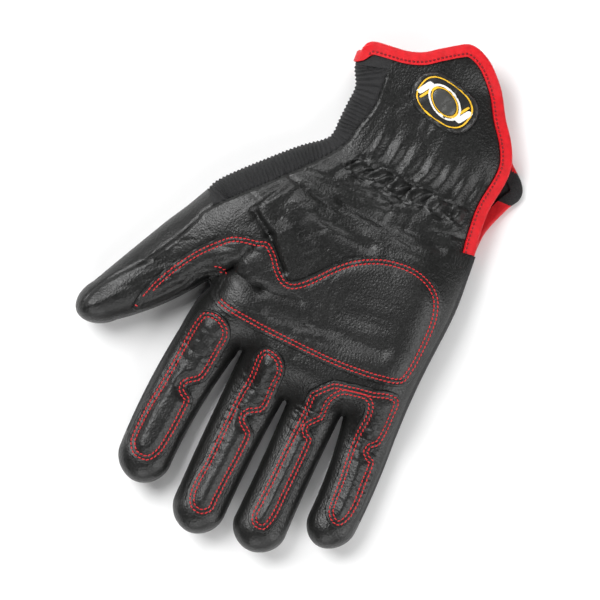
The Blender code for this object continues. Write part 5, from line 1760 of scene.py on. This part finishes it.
def make_badge(form, held, looks):
    """A moulded badge with a plain geometric design: rings round an oval, with a slanted bar at each end."""
    faces = form.faces[form.top][held["badge_plate"]]
    away = distance_to(form.points[:, :2], form.loops["badge_plate"], closed=True)
    past_lip = away - BADGE_LIP_AT
    rise = GAP + BADGE_THICKNESS * (BADGE_EDGE_SHARE + (1.0 - BADGE_EDGE_SHARE) * rounded(away, BADGE_EDGE))
    rise -= BADGE_GROOVE * ease(past_lip / BADGE_LIP_HALF)
    rise += BADGE_GROOVE * bell(past_lip, BADGE_LIP_HALF)
    points, faces = skin(form.points, form.normals, faces, rise, 0.0)
    plate = new_piece("badge_plate_look", points, faces, looks.rubber)
    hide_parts("badge_plate")
    surface = surface_of(points, faces)
    centre = np.array([BADGE_ACROSS * CUFF_WIDTH, BADGE_ALONG * PALM_LENGTH])
    way = np.array([math.cos(math.radians(BADGE_TURN)), math.sin(math.radians(BADGE_TURN))])

    def rim_loop(size):
        return oval(centre, size * BADGE_LENGTH, size * BADGE_HEIGHT, BADGE_TURN, RIM_POINTS)

    def core_loop(size):
        height = size * CORE_FLATTER * BADGE_HEIGHT
        return oval(centre, size * BADGE_LENGTH, height, BADGE_TURN - CORE_TURN, CORE_POINTS, 2.0)

    def design(ring, bar_row):
        """One colour's ring, and its slanted bar on each side of the middle."""
        parts = [ring_shape(surface, core_loop, *ring, RING_RAISED * BADGE_RELIEF)]
        share, length, height = bar_row
        for side in (-1.0, 1.0):
            loop = bar(centre + way * side * share * BADGE_LENGTH, length, height, BADGE_TURN, BAR_SHEAR)
            parts.append(solid_shape(surface, loop, BADGE_RELIEF))
        return merged(parts)

    rim = new_piece("badge_rim_look", *ring_shape(surface, rim_loop, *RIM_RING, BADGE_RELIEF), looks.yellow)
    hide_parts("badge_rim")
    white = new_piece("badge_emblem_look", *design(WHITE_RING, WHITE_BAR), looks.white)
    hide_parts("badge_emblem")
    new_piece("badge_inner_lines", *design(YELLOW_RING, YELLOW_BAR), looks.yellow)
    core = solid_shape(surface, core_loop(CORE_SIZE), CORE_RAISED * BADGE_RELIEF)
    new_piece("badge_core", *core, looks.grey_rubber)


def make_binding(form, looks):
    """The red tape, the knit tab that stands out of the slit, and the tape's row of stitches."""
    bands = np.vstack([form.faces[part][held] for part, held in form.bands])
    edge = list(form.front_edge) + form.corner[::-1] + list(form.back_edge[::-1])
    points, faces = binding(form, bands, edge)
    made = new_piece("cuff_binding_look", points, faces, looks.tape)
    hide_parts("cuff_binding")
    knit_material, _ = looks.knit
    made.data.materials.append(knit_material)
    middle = points[faces].mean(axis=1)
    tab = within(middle[:, 1], TAB_SPAN) & (middle[:, 0] > TAB_FROM) & (middle[:, 2] < TAB_BELOW)
    made.data.polygons.foreach_set("material_index", tab.astype(np.int32))
    surface = surface_of(points, faces)
    front = form.points[form.front_edge][:, :2]
    line = offset_inwards(front, TAPE_WIDTH - TAPE_ROW_IN)
    new_piece("cuff_binding_stitches", *stitches(surface, line, False, *TAPE_STITCH), looks.dark_thread)


# Each soft box: its name, its place, its width and height, and its power. All aim at the frame's origin.
SOFT_BOXES = (
    ("key", (-1.1, 0.30, 1.40), (1.0, 1.2), 35.0),
    ("upper", (-0.35, 1.4, 1.1), (1.2, 0.7), 14.0),
    ("fill", (1.45, -0.25, 0.90), (1.0, 1.4), 18.0),
    ("lower", (0.4, -1.40, 0.9), (1.4, 0.8), 13.0),
)
# The world's strength, from pale at the horizon to dark overhead.
SKY_RAMP = (("From Min", 0.15), ("From Max", 0.85), ("To Min", 1.10), ("To Max", 0.05))


def light(name, place, size, power):
    data = bpy.data.lights.new(name, "AREA")
    data.shape = "RECTANGLE"
    data.size, data.size_y = size
    data.energy = power
    made = bpy.data.objects.new(name, data)
    made.location = place
    made.rotation_euler = (-Vector(place)).to_track_quat("-Z", "Y").to_euler()
    bpy.context.scene.collection.objects.link(made)


# The photograph's frame: its middle on the part, its width, and the turn of its upward direction from +Y.
VIEW_MIDDLE = (0.0099, -0.0102)
VIEW_WIDTH = 0.276
VIEW_TURN = math.degrees(math.atan2(0.3987, 0.917))
CAMERA_HEIGHT = 2.4
SENSOR = 0.036
FLOOR_SIZE = 3.0
FLOOR_BELOW = 0.0004


def make_camera():
    data = bpy.data.cameras.new("photo_camera")
    data.sensor_width = SENSOR * 1000.0
    data.lens = SENSOR * CAMERA_HEIGHT / VIEW_WIDTH * 1000.0
    data.clip_end = 10.0
    made = bpy.data.objects.new("photo_camera", data)
    made.location = (*VIEW_MIDDLE, CAMERA_HEIGHT)
    made.rotation_euler = (0.0, 0.0, math.radians(VIEW_TURN))
    bpy.context.scene.collection.objects.link(made)
    bpy.context.scene.camera = made


def make_floor():
    mesh = bpy.data.meshes.new("floor")
    half = 0.5 * FLOOR_SIZE
    corners = [(-half, -half, 0), (half, -half, 0), (half, half, 0), (-half, half, 0)]
    mesh.from_pydata(corners, [], [(0, 1, 2, 3)])
    n = Nodes("floor_white")
    shade = n.colours(n.noise(3.0, 2.0), (0.90, 0.90, 0.90), (0.93, 0.93, 0.93))
    mesh.materials.append(n.finish(shade, None, None, Roughness=0.9, Specular_IOR_Level=0.1))
    floor = bpy.data.objects.new("floor", mesh)
    floor.location = (0.0, 0.0, -FLOOR_BELOW)
    bpy.context.scene.collection.objects.link(floor)


def make_lights():
    """Soft boxes all round, and a world that is pale at the horizon and dark overhead."""
    world = bpy.data.worlds.new("studio")
    world.use_nodes = True
    tree = world.node_tree
    place = tree.nodes.new("ShaderNodeTexCoord")
    parts = tree.nodes.new("ShaderNodeSeparateXYZ")
    spread = tree.nodes.new("ShaderNodeMapRange")
    for key, number in SKY_RAMP:
        spread.inputs[key].default_value = number
    tree.links.new(place.outputs["Generated"], parts.inputs["Vector"])
    tree.links.new(parts.outputs["Z"], spread.inputs["Value"])
    tree.links.new(spread.outputs["Result"], tree.nodes["Background"].inputs["Strength"])
    bpy.context.scene.world = world
    for box in SOFT_BOXES:
        light(*box)
    bpy.context.scene.view_settings.view_transform = "Standard"


form = build_form()
# How far the frame's origin lies from the form's own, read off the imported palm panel.
palm_box = np.array(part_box("palm_panel"))
own = form.points[np.unique(form.faces[form.regions == "palm_panel"])]
SHIFT = np.zeros(3, np.float32)
SHIFT[:2] = 0.5 * (palm_box[0] + palm_box[1])[:2] - 0.5 * (own.min(axis=0) + own.max(axis=0))[:2]
raise_ribs(form)
looks = Looks()
held = {name: inside(form.top_plan, loop) for name, loop in form.loops.items()}
make_panels(form, looks)
make_patches(form, held, looks)
make_badge(form, held, looks)
make_binding(form, looks)
make_floor()
make_lights()
make_camera()
